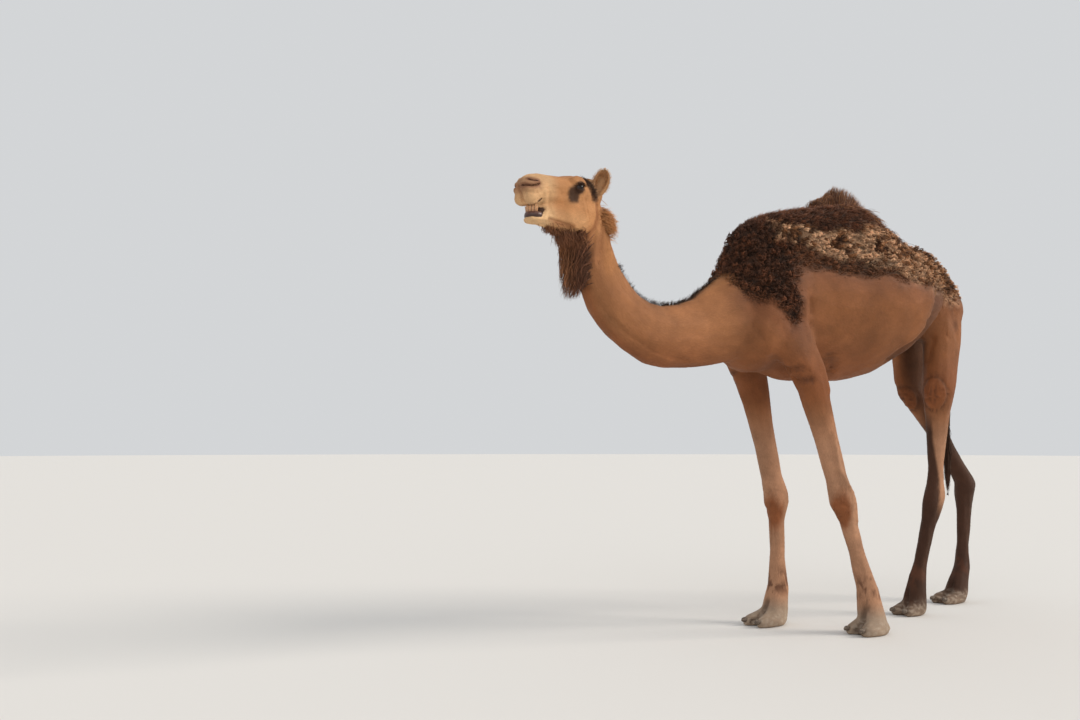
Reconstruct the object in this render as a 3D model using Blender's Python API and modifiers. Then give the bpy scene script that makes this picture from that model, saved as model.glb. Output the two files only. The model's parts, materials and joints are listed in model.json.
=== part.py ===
"""Life-size dromedary camel, a young slim animal standing with its head raised.

Run with: blender --background --python part.py
Units are metres, +Z is up and the head points to -X, so the left side faces -Y.
The flesh is modelled whole from lofted forms, fused, and then parted by thin plane cuts.
While it is built, x runs back from a line between the forefeet; the last step centres it.
"""

import math

import bmesh
import bpy
from mathutils import Matrix, Vector

# ---------------------------------------------------------------- driving sizes
GAP = 0.0004  # clearance between neighbouring solids
RING_SIDES = 28
RING_STEPS = 5

TORSO = {"voxel": 0.013, "softening": 60, "triangles": 9000}
BODY = {"voxel": 0.010, "softening": 22, "triangles": 2780}
HEAD = {"voxel": 0.005, "softening": 11, "triangles": 1600}
TEETH = {"voxel": 0.0025, "softening": 3, "triangles": 240}

KNEE_HEIGHT = 0.595  # carpus, on both forelegs
LEG_TOP = 1.05  # where the free legs are parted from the trunk
LEG_JOINT = 0.60  # knee and hock
FETLOCK = 0.15
HUMP_FOOT = 1.80  # the hump is parted from the trunk at this height
SHOULDER_END = 0.02
FLANK = 0.70
NECK_FOOT = -0.56
NECK_MIDDLE = -0.86  # where the lower and the middle length of the neck meet
NECK_BEND = ((-1.16, 0, 1.47), (0.57, 0, -0.82))  # point and direction of the cut below the throat
NAPE = ((0.005, 0, -0.012), (-0.914, 0, -0.406))  # cut behind the skull, in head coordinates
TASSEL_TOP = 0.93
FORE_HIND_LIMIT = 0.4  # forelegs stand ahead of this and hind legs behind it
HIND_MIDDLE = 0.03  # y between the two hind legs, which cross over the middle as they stride

HEAD_ORIGIN = Vector((-1.24, 0.0, 1.80))  # back of the skull, between the ears
HEAD_YAW = math.radians(16)  # the head turns this much to its own left
JAW_LINE = -0.066  # height of the cut between head and jaw, in head coordinates
EYE_RADIUS = 0.0185
EYE_PLACE = (0.150, 0.065, 0.046)
NAIL_SIZE = (0.020, 0.012, 0.012)

LEFT, RIGHT = -1, 1  # sign of y
SIDES = {LEFT: "left", RIGHT: "right"}

FINISH = {  # slot: colour, roughness
    "short_coat": ((0.42, 0.22, 0.11), 0.85),
    "wool": ((0.16, 0.08, 0.045), 0.95),
    "beard_hair": ((0.11, 0.05, 0.03), 0.9),
    "horn": ((0.12, 0.09, 0.07), 0.5),
    "teeth": ((0.50, 0.33, 0.22), 0.35),
    "eye": ((0.02, 0.012, 0.01), 0.08),
}


# ---------------------------------------------------------------- tools
def clear_scene():
    for thing in list(bpy.data.objects):
        bpy.data.objects.remove(thing, do_unlink=True)


def collection(name):
    made = bpy.data.collections.new(name)
    bpy.context.scene.collection.children.link(made)
    return made


def object_from(mesh_name, bm):
    """A new object in the camel's collection that holds this bmesh."""
    mesh = bpy.data.meshes.new(mesh_name)
    bm.to_mesh(mesh)
    bm.free()
    made = bpy.data.objects.new(mesh_name, mesh)
    CAMEL.objects.link(made)
    return made


def between(stations, steps):
    """Catmull-Rom values through the stations, with steps stretches between each two."""
    padded = [stations[0], *stations, stations[-1]]
    rows = []
    for i in range(1, len(padded) - 2):
        before, start, end, after = (padded[i + k] for k in (-1, 0, 1, 2))
        for s in range(steps):
            t = s / steps
            rows.append(
                tuple(
                    0.5
                    * (
                        2 * b
                        + (c - a) * t
                        + (2 * a - 5 * b + 4 * c - d) * t * t
                        + (3 * b - a - 3 * c + d) * t**3
                    )
                    for a, b, c, d in zip(before, start, end, after)
                )
            )
    rows.append(tuple(stations[-1]))
    return rows


def loft(name, stations, placing=Matrix.Identity(4), sides=RING_SIDES, steps=RING_STEPS):
    """A closed tube through stations (x, y, z, half depth, half width, egg).

    Depth is measured across the path in the vertical plane and width across that plane.
    A positive egg narrows the upper side of the ring and widens the lower one.
    """
    rows = between(stations, steps)
    centres = [Vector(row[:3]) for row in rows]
    bm = bmesh.new()
    rings = []
    for i, row in enumerate(rows):
        ahead = centres[min(i + 1, len(rows) - 1)]
        behind = centres[max(i - 1, 0)]
        along = (ahead - behind).normalized()
        side = Vector((0, 1, 0))
        side = (side - along * side.dot(along)).normalized()
        up = side.cross(along)
        depth, width, egg = row[3:6]
        ring = []
        for k in range(sides):
            turn = 2 * math.pi * k / sides
            spread = width * math.cos(turn) * (1 - egg * math.sin(turn))
            point = centres[i] + up * depth * math.sin(turn) + side * spread
            ring.append(bm.verts.new(placing @ point))
        rings.append(ring)
    for first, second in zip(rings, rings[1:]):
        for k in range(sides):
            m = (k + 1) % sides
            bm.faces.new((first[k], first[m], second[m], second[k]))
    bm.faces.new(rings[0][::-1])
    bm.faces.new(rings[-1])
    bmesh.ops.recalc_face_normals(bm, faces=bm.faces)
    return object_from(name, bm)


def ellipsoid(name, centre, radii, placing=Matrix.Identity(4), tilt=0.0, detail=(24, 14)):
    """An ellipsoid with these half sizes, tilted about its own Y axis."""
    bm = bmesh.new()
    bmesh.ops.create_uvsphere(bm, u_segments=detail[0], v_segments=detail[1], radius=1)
    turned = Matrix.Rotation(tilt, 4, "Y") @ Matrix.Diagonal((*radii, 1))
    bm.transform(placing @ Matrix.Translation(centre) @ turned)
    return object_from(name, bm)


def both(make):
    """Both sides of something: make(side) is called for the left and the right."""
    return [make(LEFT), make(RIGHT)]


def finished(thing):
    """Applies the object's modifiers by swapping in its evaluated mesh."""
    graph = bpy.context.evaluated_depsgraph_get()
    mesh = bpy.data.meshes.new_from_object(thing.evaluated_get(graph))
    thing.modifiers.clear()
    thing.data = mesh
    return thing


def cut_by(thing, *others):
    """thing with each of the others cut out of it, a gap wider than they are."""
    for other in others:
        cutter = grown(other, GAP)
        change = thing.modifiers.new("cut", "BOOLEAN")
        change.operation = "DIFFERENCE"
        change.object = cutter
        finished(thing)
        bpy.data.objects.remove(cutter, do_unlink=True)
    return thing


def grown(thing, by):
    """A copy of thing whose surface stands out by this much."""
    copy = thing.copy()
    copy.data = thing.data.copy()
    CAMEL.objects.link(copy)
    bm = bmesh.new()
    bm.from_mesh(copy.data)
    bm.normal_update()
    places = [v.co + v.normal * by for v in bm.verts]
    for vertex, place in zip(bm.verts, places):
        vertex.co = place
    bm.to_mesh(copy.data)
    bm.free()
    return copy


# ---------------------------------------------------------------- placing on the head
def head_frame():
    """Head coordinates: u forward along the skull, v to the animal's left, w up."""
    turn = Matrix.Rotation(HEAD_YAW, 4, "Z")
    axes = Matrix(((-1, 0, 0, 0), (0, -1, 0, 0), (0, 0, 1, 0), (0, 0, 0, 1)))
    return Matrix.Translation(HEAD_ORIGIN) @ turn @ axes


def on_head(u, v, w):
    return ON_HEAD @ Vector((u, v, w))


def head_direction(u, v, w):
    return ON_HEAD.to_3x3() @ Vector((u, v, w))


# ---------------------------------------------------------------- trunk
def trunk():
    """The barrel of ribs and belly, from the breast to the root of the tail."""
    spine = [  # x, y, z, half depth, half width, egg
        (-0.50, 0, 1.38, 0.17, 0.11, 0.0),
        (-0.40, 0, 1.42, 0.26, 0.165, 0.1),
        (-0.25, 0, 1.455, 0.315, 0.205, 0.2),
        (-0.05, 0, 1.46, 0.32, 0.25, 0.25),
        (0.15, 0, 1.46, 0.33, 0.305, 0.25),
        (0.35, 0, 1.483, 0.317, 0.345, 0.2),
        (0.55, 0, 1.52, 0.265, 0.33, 0.15),
        (0.70, 0, 1.545, 0.22, 0.27, 0.15),
        (0.85, 0, 1.56, 0.185, 0.20, 0.2),
        (0.98, 0, 1.565, 0.145, 0.160, 0.3),
        (1.08, 0, 1.56, 0.105, 0.115, 0.3),
        (1.14, 0, 1.55, 0.055, 0.06, 0.2),
    ]
    return loft("trunk", spine)


def hump_mound():
    """The long hump and its thick wool, from the withers to the croup, narrow at its top."""
    ridge = [
        (-0.44, 0, 1.60, 0.08, 0.08, 0.0),
        (-0.36, 0, 1.66, 0.155, 0.11, 0.2),
        (-0.22, 0, 1.70, 0.205, 0.15, 0.35),
        (0.00, 0, 1.72, 0.235, 0.18, 0.45),
        (0.20, 0, 1.74, 0.255, 0.20, 0.5),
        (0.36, 0, 1.74, 0.255, 0.19, 0.55),
        (0.52, 0, 1.70, 0.200, 0.17, 0.5),
        (0.70, 0, 1.67, 0.155, 0.155, 0.45),
        (0.88, 0, 1.645, 0.130, 0.14, 0.4),
        (1.01, 0, 1.62, 0.100, 0.11, 0.35),
        (1.08, 0, 1.60, 0.065, 0.07, 0.2),
    ]
    return loft("hump_mound", ridge)


def shoulder(side):
    """Shoulder blade and its muscle, sloping from the withers to the shoulder point."""
    blade = [
        (-0.12, side * 0.11, 1.72, 0.06, 0.04, 0.0),
        (-0.20, side * 0.155, 1.60, 0.12, 0.065, 0.0),
        (-0.29, side * 0.165, 1.45, 0.14, 0.07, 0.0),
        (-0.35, side * 0.155, 1.33, 0.11, 0.065, 0.0),
        (-0.33, side * 0.15, 1.24, 0.07, 0.05, 0.0),
    ]
    return loft("shoulder", blade)


def breast():
    """The breast between the forelegs, ending in the sternal pad."""
    return [
        ellipsoid("breast", (-0.36, 0, 1.28), (0.13, 0.16, 0.13)),
        ellipsoid("sternal_pad", (-0.10, 0, 1.165), (0.13, 0.08, 0.045)),
    ]


def haunch(side):
    """Hip and rump muscle that carry each thigh."""
    return ellipsoid("haunch", (0.91, side * 0.11, 1.53), (0.155, 0.105, 0.13), tilt=0.3)


# ---------------------------------------------------------------- neck
def neck():
    """The U-shaped neck, low over the breast and then upright to the skull."""
    path = [
        (-0.36, 0, 1.44, 0.235, 0.175, 0.1),
        (-0.52, 0, 1.375, 0.185, 0.142, 0.0),
        (-0.69, 0, 1.315, 0.150, 0.110, 0.0),
        (-0.85, 0, 1.295, 0.139, 0.098, 0.0),
        (-1.00, 0, 1.332, 0.125, 0.088, 0.0),
        (-1.115, 0, 1.412, 0.118, 0.082, 0.0),
        (-1.19, 0, 1.52, 0.113, 0.078, 0.0),
        (-1.24, 0, 1.64, 0.106, 0.076, 0.0),
        (-1.262, 0, 1.75, 0.105, 0.074, 0.0),
        (-1.262, 0, 1.82, 0.07, 0.06, 0.0),
    ]
    return loft("neck", path)


# ---------------------------------------------------------------- head
def skull():
    """Upper head from the back of the skull to the cleft upper lip."""
    top = [  # u, v, w, half depth, half width, egg
        (-0.045, 0, 0.045, 0.045, 0.040, 0.0),
        (-0.01, 0, 0.038, 0.078, 0.060, 0.1),
        (0.06, 0, 0.028, 0.086, 0.070, 0.15),
        (0.14, 0, 0.024, 0.082, 0.070, 0.2),
        (0.20, 0, 0.018, 0.074, 0.060, 0.25),
        (0.27, 0, 0.018, 0.066, 0.050, 0.2),
        (0.33, 0, 0.015, 0.064, 0.049, 0.1),
        (0.375, 0, 0.005, 0.062, 0.051, 0.0),
        (0.402, 0, -0.004, 0.050, 0.046, -0.05),
        (0.420, 0, -0.020, 0.030, 0.032, 0.0),
    ]
    paired = [  # name, centre on the right side, half sizes, tilt
        ("lip_lobe", (0.390, 0.024, -0.029), (0.036, 0.028, 0.031), 0.0),
        ("nostril", (0.376, 0.033, 0.028), (0.032, 0.020, 0.020), 0.2),
        ("brow", (0.145, 0.054, 0.066), (0.050, 0.028, 0.028), 0.0),
        ("masseter", (0.115, 0.045, -0.04), (0.105, 0.024, 0.07), 0.45),
    ]
    forms = [loft("skull", top, ON_HEAD)]
    for name, (u, v, w), radii, tilt in paired:
        forms += [ellipsoid(name, (u, side * v, w), radii, ON_HEAD, tilt) for side in SIDES]
    return forms


def mandible():
    """Lower jaw, dropped a little so that the mouth stands open."""
    bone = [
        (0.01, 0, -0.030, 0.070, 0.050, 0.0),
        (0.07, 0, -0.052, 0.073, 0.055, -0.1),
        (0.15, 0, -0.062, 0.068, 0.052, -0.1),
        (0.23, 0, -0.071, 0.058, 0.046, -0.1),
        (0.29, 0, -0.080, 0.047, 0.043, 0.0),
        (0.32, 0, -0.088, 0.037, 0.043, 0.0),
        (0.345, 0, -0.102, 0.022, 0.041, 0.0),
        (0.370, 0, -0.107, 0.017, 0.035, 0.0),
        (0.388, 0, -0.106, 0.010, 0.022, 0.0),
    ]
    return loft("mandible", bone, ON_HEAD)


def lower_teeth():
    """The arc of lower front teeth on their gum."""
    gum = [ellipsoid("gum", (0.352, 0, -0.085), (0.020, 0.030, 0.010), ON_HEAD)]
    for step in range(-3, 4):
        bend = step * 0.42
        place = (0.338 + 0.030 * math.cos(bend), 0.029 * math.sin(bend), -0.075)
        gum.append(ellipsoid("tooth", place, (0.0060, 0.0060, 0.016), ON_HEAD, detail=(10, 8)))
    return fuse(gum, "teeth_lower", **TEETH)


def ear(side):
    """One ear: a short upright cup, open to the front and outside."""
    outer = ellipsoid("ear_" + SIDES[side], (0, 0, 0.049), (0.018, 0.034, 0.058), detail=(14, 9))
    hollow = ellipsoid("ear_hollow", (0.016, 0, 0.064), (0.015, 0.025, 0.047), detail=(10, 7))
    cut_by(outer, hollow)
    bpy.data.objects.remove(hollow, do_unlink=True)
    facing = Matrix.Rotation(-side * 0.75, 4, "Z")
    lean = Matrix.Rotation(side * 0.32, 4, "X") @ Matrix.Rotation(-0.16, 4, "Y")
    place = Matrix.Translation((0.018, -side * 0.052, 0.044))
    outer.data.transform(ON_HEAD @ place @ lean @ facing)
    return outer


def eye(side):
    u, v, w = EYE_PLACE
    ball = (EYE_RADIUS, EYE_RADIUS, EYE_RADIUS)
    return ellipsoid("eye_" + SIDES[side], (u, -side * v, w), ball, ON_HEAD, detail=(14, 9))


def beard():
    """The long hair that hangs from the throat in one flat, square-ended mass."""
    path = [
        (-1.430, -0.02, 1.690, 0.020, 0.026, 0.0),
        (-1.370, -0.01, 1.655, 0.034, 0.044, 0.0),
        (-1.335, 0, 1.590, 0.040, 0.054, 0.0),
        (-1.332, 0, 1.520, 0.046, 0.052, 0.0),
        (-1.320, 0, 1.470, 0.046, 0.046, 0.0),
        (-1.308, 0, 1.445, 0.040, 0.037, 0.0),
    ]
    return loft("beard", path, sides=12, steps=2)


# ---------------------------------------------------------------- legs
FORE_GIRTH = [  # bone, share along it, half depth, half width
    (0, 0.0, 0.14, 0.070),
    (0, 0.5, 0.115, 0.072),
    (1, 0.0, 0.083, 0.068),
    (1, 0.22, 0.070, 0.062),
    (1, 0.5, 0.060, 0.054),
    (1, 0.8, 0.058, 0.051),
    (1, 0.93, 0.064, 0.057),
    (2, 0.0, 0.067, 0.059),
    (2, 0.12, 0.060, 0.053),
    (2, 0.25, 0.046, 0.041),
    (2, 0.6, 0.043, 0.038),
    (2, 0.84, 0.050, 0.044),
    (3, 0.0, 0.057, 0.051),
    (3, 0.5, 0.061, 0.055),
    (3, 1.0, 0.064, 0.060),
]
HIND_GIRTH = [
    (0, 0.0, 0.11, 0.080),
    (0, 0.35, 0.115, 0.085),
    (0, 0.7, 0.105, 0.080),
    (1, 0.0, 0.094, 0.070),
    (1, 0.25, 0.070, 0.057),
    (1, 0.5, 0.057, 0.047),
    (1, 0.7, 0.048, 0.040),
    (1, 0.86, 0.050, 0.041),
    (2, 0.0, 0.063, 0.049),
    (2, 0.14, 0.063, 0.051),
    (2, 0.3, 0.050, 0.042),
    (2, 0.6, 0.042, 0.036),
    (2, 0.85, 0.043, 0.037),
    (3, 0.0, 0.050, 0.043),
    (3, 0.5, 0.056, 0.048),
    (3, 1.0, 0.062, 0.053),
]
FORE_JOINTS = {  # shoulder, elbow, knee, fetlock, end of the pastern, middle of the foot
    LEFT: [
        (-0.30, -0.15, 1.42),
        (-0.155, -0.19, 1.12),
        (0.001, -0.215, KNEE_HEIGHT),
        (0.122, -0.246, 0.19),
        (0.136, -0.254, 0.06),
        (0.108, -0.258, 0.0),
    ],
    RIGHT: [
        (-0.30, 0.15, 1.42),
        (-0.152, 0.17, 1.12),
        (-0.014, 0.165, KNEE_HEIGHT - 0.01),
        (-0.016, 0.162, 0.17),
        (-0.045, 0.16, 0.06),
        (-0.105, 0.16, 0.0),
    ],
}
HIND_JOINTS = {  # hip, stifle, hock, fetlock, end of the pastern, middle of the foot
    LEFT: [
        (0.92, -0.12, 1.52),
        (0.80, -0.16, 1.10),
        (0.832, -0.10, 0.59),
        (0.757, -0.044, 0.19),
        (0.735, -0.034, 0.06),
        (0.702, -0.03, 0.0),
    ],
    RIGHT: [
        (0.96, 0.12, 1.52),
        (1.015, 0.165, 1.15),
        (1.392, 0.11, 0.63),
        (1.332, 0.10, 0.18),
        (1.27, 0.097, 0.06),
        (1.195, 0.095, 0.0),
    ],
}
TOE = {"fore": (0.098, 0.044, 0.042), "hind": (0.088, 0.038, 0.038)}  # half length, width, height


def leg(name, joints, girths):
    points = [Vector(joint) for joint in joints[:-1]]
    stations = []
    for bone, share, depth, width in girths:
        place = points[bone].lerp(points[bone + 1], share)
        stations.append((*place, depth, width, 0.0))
    return loft(name, stations)


def foot(kind, joints):
    """A broad foot: two toes on one padded sole, which the floor plane later cuts flat."""
    length, width, height = TOE[kind]
    x, y, _ = joints[-1]
    size = (length, width, height)
    toes = [ellipsoid("toe", (x - 0.008, y + s * width * 0.95, 0.022), size, tilt=-0.08) for s in SIDES]
    back = joints[-2][0] - 0.35 * (joints[-2][0] - x)
    heel = ellipsoid("heel", (back, y, 0.028), (length * 0.72, width * 1.75, height * 1.35))
    return [*toes, heel]


def nails(kind, leg_side, name, joints):
    """The two blunt nails at the tips of the toes."""
    length, width, _ = TOE[kind]
    x, y, _ = joints[-1]
    made = []
    for toe in SIDES:
        word = "nail_outer" if toe == leg_side else "nail_inner"
        place = (x - length * 0.95, y + toe * width * 0.95, 0.027)
        made.append(ellipsoid(f"{name}_{word}", place, NAIL_SIZE, tilt=-0.35, detail=(8, 5)))
    return made


# ---------------------------------------------------------------- tail and crest
def tail():
    """The thin tail, hanging close behind the thighs and ending in a tassel of hair."""
    path = [
        (1.09, 0, 1.62, 0.040, 0.040, 0.0),
        (1.145, 0, 1.56, 0.032, 0.030, 0.0),
        (1.150, 0, 1.46, 0.025, 0.025, 0.0),
        (1.125, 0, 1.28, 0.020, 0.020, 0.0),
        (1.100, 0, 1.08, 0.018, 0.018, 0.0),
        (1.090, 0, 0.90, 0.020, 0.022, 0.0),
        (1.087, 0, 0.74, 0.026, 0.026, 0.0),
        (1.083, 0, 0.62, 0.018, 0.016, 0.0),
        (1.081, 0, 0.565, 0.005, 0.005, 0.0),
    ]
    return loft("tail", path, sides=10, steps=2)


def hump_tuft():
    """The long hair on top of the hump, upswept in front and falling to the rear."""
    path = [
        (0.215, 0, 2.005, 0.020, 0.020, 0.0),
        (0.262, 0, 2.035, 0.036, 0.028, 0.2),
        (0.34, 0, 2.03, 0.045, 0.042, 0.3),
        (0.42, 0, 1.985, 0.040, 0.040, 0.3),
        (0.51, 0, 1.915, 0.032, 0.035, 0.2),
        (0.57, 0, 1.86, 0.015, 0.020, 0.0),
    ]
    return loft("hump_tuft", path, sides=12, steps=2)


# ---------------------------------------------------------------- fusing and parting
def fuse(pieces, name, voxel, softening, triangles):
    """One smooth closed skin round all of these overlapping forms."""
    bpy.ops.object.select_all(action="DESELECT")
    for piece in pieces:
        piece.select_set(True)
    bpy.context.view_layer.objects.active = pieces[0]
    bpy.ops.object.join()
    whole = named(pieces[0], name)
    remesh = whole.modifiers.new("fuse", "REMESH")
    remesh.mode = "VOXEL"
    remesh.voxel_size = voxel
    smooth = whole.modifiers.new("soften", "SMOOTH")
    smooth.factor = 0.5
    smooth.iterations = softening
    finished(whole)
    bm = bmesh.new()
    bm.from_mesh(whole.data)
    bmesh.ops.triangulate(bm, faces=bm.faces)
    count = len(bm.faces)
    bm.to_mesh(whole.data)
    bm.free()
    thin = whole.modifiers.new("thin_out", "DECIMATE")
    thin.ratio = triangles / count
    return finished(whole)


def beyond(thing, name, point, normal, gap=GAP):
    """What lies on the normal's side of a plane, closed, and half a gap away from it."""
    normal = Vector(normal).normalized()
    bm = bmesh.new()
    bm.from_mesh(thing.data)
    cut = bmesh.ops.bisect_plane(
        bm,
        geom=bm.verts[:] + bm.edges[:] + bm.faces[:],
        plane_co=Vector(point) + normal * gap / 2,
        plane_no=normal,
        clear_inner=True,
        dist=1e-6,
    )
    rim = [e for e in cut["geom_cut"] if isinstance(e, bmesh.types.BMEdge)]
    bmesh.ops.triangle_fill(bm, edges=rim, use_beauty=True)
    bmesh.ops.recalc_face_normals(bm, faces=bm.faces)
    return object_from(name, bm)


def kept_beyond(thing, point, normal, gap=GAP):
    """thing reduced to what lies on the normal's side of a plane."""
    name = thing.name
    rest = beyond(thing, "rest", point, normal, gap)
    bpy.data.objects.remove(thing, do_unlink=True)
    return named(rest, name)


def parted(thing, point, normal):
    """The two parts of thing: the one before a plane, and the one behind it."""
    before = beyond(thing, "before", point, -Vector(normal))
    return before, kept_beyond(thing, point, normal)


def islands(thing):
    """The separate bodies of thing, each as an object of its own."""
    bpy.ops.object.select_all(action="DESELECT")
    thing.select_set(True)
    bpy.context.view_layer.objects.active = thing
    bpy.ops.mesh.separate(type="LOOSE")
    return list(bpy.context.selected_objects)


def middle(thing):
    corners = [thing.matrix_world @ Vector(c) for c in thing.bound_box]
    return sum(corners, Vector()) / len(corners)


def named(thing, name):
    thing.name = name
    thing.data.name = name
    return thing


def name_legs(slab, fore_part, hind_part):
    """Names the pieces of a slab through all four legs after the leg that each belongs to."""
    for piece in islands(slab):
        place = middle(piece)
        fore = place.x < FORE_HIND_LIMIT
        side = "left" if place.y < (0 if fore else HIND_MIDDLE) else "right"
        part = f"foreleg_{side}_{fore_part}" if fore else f"hindleg_{side}_{hind_part}"
        named(piece, part)


# ---------------------------------------------------------------- finish and place
def slot_of(name):
    for word, slot in (
        ("hump", "wool"),
        ("beard", "beard_hair"),
        ("tail_tassel", "beard_hair"),
        ("nail", "horn"),
        ("teeth", "teeth"),
        ("eye", "eye"),
    ):
        if word in name:
            return slot
    return "short_coat"


def material(slot):
    if slot in bpy.data.materials:
        return bpy.data.materials[slot]
    colour, roughness = FINISH[slot]
    made = bpy.data.materials.new(slot)
    made.use_nodes = True
    surface = made.node_tree.nodes["Principled BSDF"]
    surface.inputs["Base Color"].default_value = (*colour, 1)
    surface.inputs["Roughness"].default_value = roughness
    surface.inputs["Metallic"].default_value = 0
    return made


def stand_on_origin(things):
    """Moves everything so that its box stands on the origin, each piece set at its own middle."""
    points = [v.co for thing in things for v in thing.data.vertices]
    low = Vector(min(p[i] for p in points) for i in range(3))
    high = Vector(max(p[i] for p in points) for i in range(3))
    base = Vector(((low.x + high.x) / 2, (low.y + high.y) / 2, low.z))
    stand = bpy.data.objects.new("camel_stand_point", None)
    CAMEL.objects.link(stand)
    for thing in things:
        centre = middle(thing)
        thing.data.transform(Matrix.Translation(-centre))
        thing.location = centre - base
        thing.parent = stand


# ---------------------------------------------------------------- building
clear_scene()
CAMEL = collection("dromedary_camel")
ON_HEAD = head_frame()

torso_forms = [trunk(), hump_mound(), *breast(), *both(shoulder), *both(haunch)]
body_forms = [fuse(torso_forms, "torso", **TORSO), neck()]
for side in SIDES:
    body_forms += [leg("foreleg", FORE_JOINTS[side], FORE_GIRTH), *foot("fore", FORE_JOINTS[side])]
    body_forms += [leg("hindleg", HIND_JOINTS[side], HIND_GIRTH), *foot("hind", HIND_JOINTS[side])]
body = fuse(body_forms, "body", **BODY)
body = kept_beyond(body, (0, 0, 0), (0, 0, 1), gap=0)
head = fuse([*skull(), mandible(), neck()], "head", **HEAD)

nape_point, nape_direction = on_head(*NAPE[0]), head_direction(*NAPE[1])
head = kept_beyond(head, nape_point, -nape_direction)
body = kept_beyond(body, nape_point, nape_direction)

whole_tail = cut_by(tail(), body)
cut_by(hump_tuft(), body)
cut_by(beard(), body, head)
for side in SIDES:
    cut_by(ear(side), head)
cut_by(head, *both(eye))
for kind, joints, leg_name in (("fore", FORE_JOINTS, "foreleg"), ("hind", HIND_JOINTS, "hindleg")):
    for side in SIDES:
        cut_by(body, *nails(kind, side, f"{leg_name}_{SIDES[side]}", joints[side]))

jaw, head = parted(head, on_head(0, 0, JAW_LINE), head_direction(0, 0, 1))
named(jaw, "jaw")
named(head, "head")
cut_by(lower_teeth(), jaw, head)

necks, trunk_and_legs = parted(body, (NECK_FOOT, 0, 0), (1, 0, 0))
neck_top, neck_rest = parted(necks, *NECK_BEND)
neck_mid, neck_low = parted(neck_rest, (NECK_MIDDLE, 0, 0), (1, 0, 0))
named(neck_top, "neck_upper")
named(neck_mid, "neck_middle")
named(neck_low, "neck_lower")

free_legs, torso = parted(trunk_and_legs, (0, 0, LEG_TOP), (0, 0, 1))
torso, hump = parted(torso, (0, 0, HUMP_FOOT), (0, 0, 1))
chest, hindquarters = parted(torso, (SHOULDER_END, 0, 0), (1, 0, 0))
barrel, rump = parted(hindquarters, (FLANK, 0, 0), (1, 0, 0))
named(hump, "hump")
named(chest, "chest")
named(barrel, "barrel")
named(rump, "rump")

shanks, thighs = parted(free_legs, (0, 0, LEG_JOINT), (0, 0, 1))
feet, cannons = parted(shanks, (0, 0, FETLOCK), (0, 0, 1))
name_legs(thighs, "forearm", "gaskin")
name_legs(cannons, "cannon", "cannon")
name_legs(feet, "foot", "foot")

tassel, tail_core = parted(whole_tail, (0, 0, TASSEL_TOP), (0, 0, 1))
named(tassel, "tail_tassel")
named(tail_core, "tail")

pieces = [thing for thing in CAMEL.objects if thing.type == "MESH"]
for piece in pieces:
    piece.data.materials.clear()
    piece.data.materials.append(material(slot_of(piece.name)))
    piece.data.shade_smooth()
stand_on_origin(pieces)
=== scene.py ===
import json
import math

import bmesh
import bpy
import numpy as np
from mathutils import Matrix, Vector
from mathutils.bvhtree import BVHTree

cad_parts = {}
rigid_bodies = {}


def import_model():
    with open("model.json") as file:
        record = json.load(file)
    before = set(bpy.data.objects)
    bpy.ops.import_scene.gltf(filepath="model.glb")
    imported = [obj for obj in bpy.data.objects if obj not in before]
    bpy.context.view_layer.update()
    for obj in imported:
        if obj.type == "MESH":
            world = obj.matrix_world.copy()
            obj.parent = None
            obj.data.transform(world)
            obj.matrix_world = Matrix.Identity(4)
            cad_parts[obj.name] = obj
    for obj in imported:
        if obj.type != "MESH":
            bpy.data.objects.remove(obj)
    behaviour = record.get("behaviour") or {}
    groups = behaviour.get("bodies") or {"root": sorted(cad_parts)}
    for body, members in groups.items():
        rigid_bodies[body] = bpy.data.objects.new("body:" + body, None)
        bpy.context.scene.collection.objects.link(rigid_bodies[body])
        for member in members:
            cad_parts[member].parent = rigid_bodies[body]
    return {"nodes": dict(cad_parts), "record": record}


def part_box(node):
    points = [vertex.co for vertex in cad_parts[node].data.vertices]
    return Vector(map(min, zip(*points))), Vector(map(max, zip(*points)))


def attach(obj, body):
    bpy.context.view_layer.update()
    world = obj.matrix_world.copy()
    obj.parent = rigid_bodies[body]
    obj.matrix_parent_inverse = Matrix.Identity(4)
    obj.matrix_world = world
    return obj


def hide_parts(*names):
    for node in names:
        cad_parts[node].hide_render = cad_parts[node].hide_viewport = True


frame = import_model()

for thing in list(bpy.data.objects):
    if thing.name in ("Cube", "Light", "Camera"):
        bpy.data.objects.remove(thing)
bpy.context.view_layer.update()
scene = bpy.context.scene
bpy.ops.object.select_all(action="DESELECT")


# ---------------------------------------------------------------- studio: camera, floor and lights
# A pale level floor, one large soft lamp behind the animal's left shoulder and weak soft fill.
# The camera stands low ahead of the animal, on its left, and looks slightly upwards.
CAMERA_PLACE = (-3.6526, -3.3798, 0.86)
CAMERA_HEADING = 56.0  # degrees from +X towards +Y
CAMERA_RISE = 4.36
CAMERA_LENS = 35
FLOOR_REACH = 60.0

heading, rise = math.radians(CAMERA_HEADING), math.radians(CAMERA_RISE)
ahead = Vector((math.cos(heading) * math.cos(rise), math.sin(heading) * math.cos(rise), math.sin(rise)))
camera = bpy.data.objects.new("camera", bpy.data.cameras.new("camera"))
camera.data.lens = CAMERA_LENS
camera.data.sensor_width = 36
camera.location = CAMERA_PLACE
camera.rotation_mode = "QUATERNION"
camera.rotation_quaternion = ahead.to_track_quat("-Z", "Y")
scene.collection.objects.link(camera)
scene.camera = camera

bpy.ops.mesh.primitive_circle_add(vertices=96, radius=FLOOR_REACH, fill_type="NGON")
floor = bpy.context.object
floor.name = "studio_floor"
floor_paint = bpy.data.materials.new("floor_paint")
floor_paint.use_nodes = True
floor_shader = floor_paint.node_tree.nodes["Principled BSDF"]
floor_shader.inputs["Base Color"].default_value = (0.72, 0.7, 0.67, 1)
floor_shader.inputs["Roughness"].default_value = 0.9
floor.data.materials.append(floor_paint)


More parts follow.
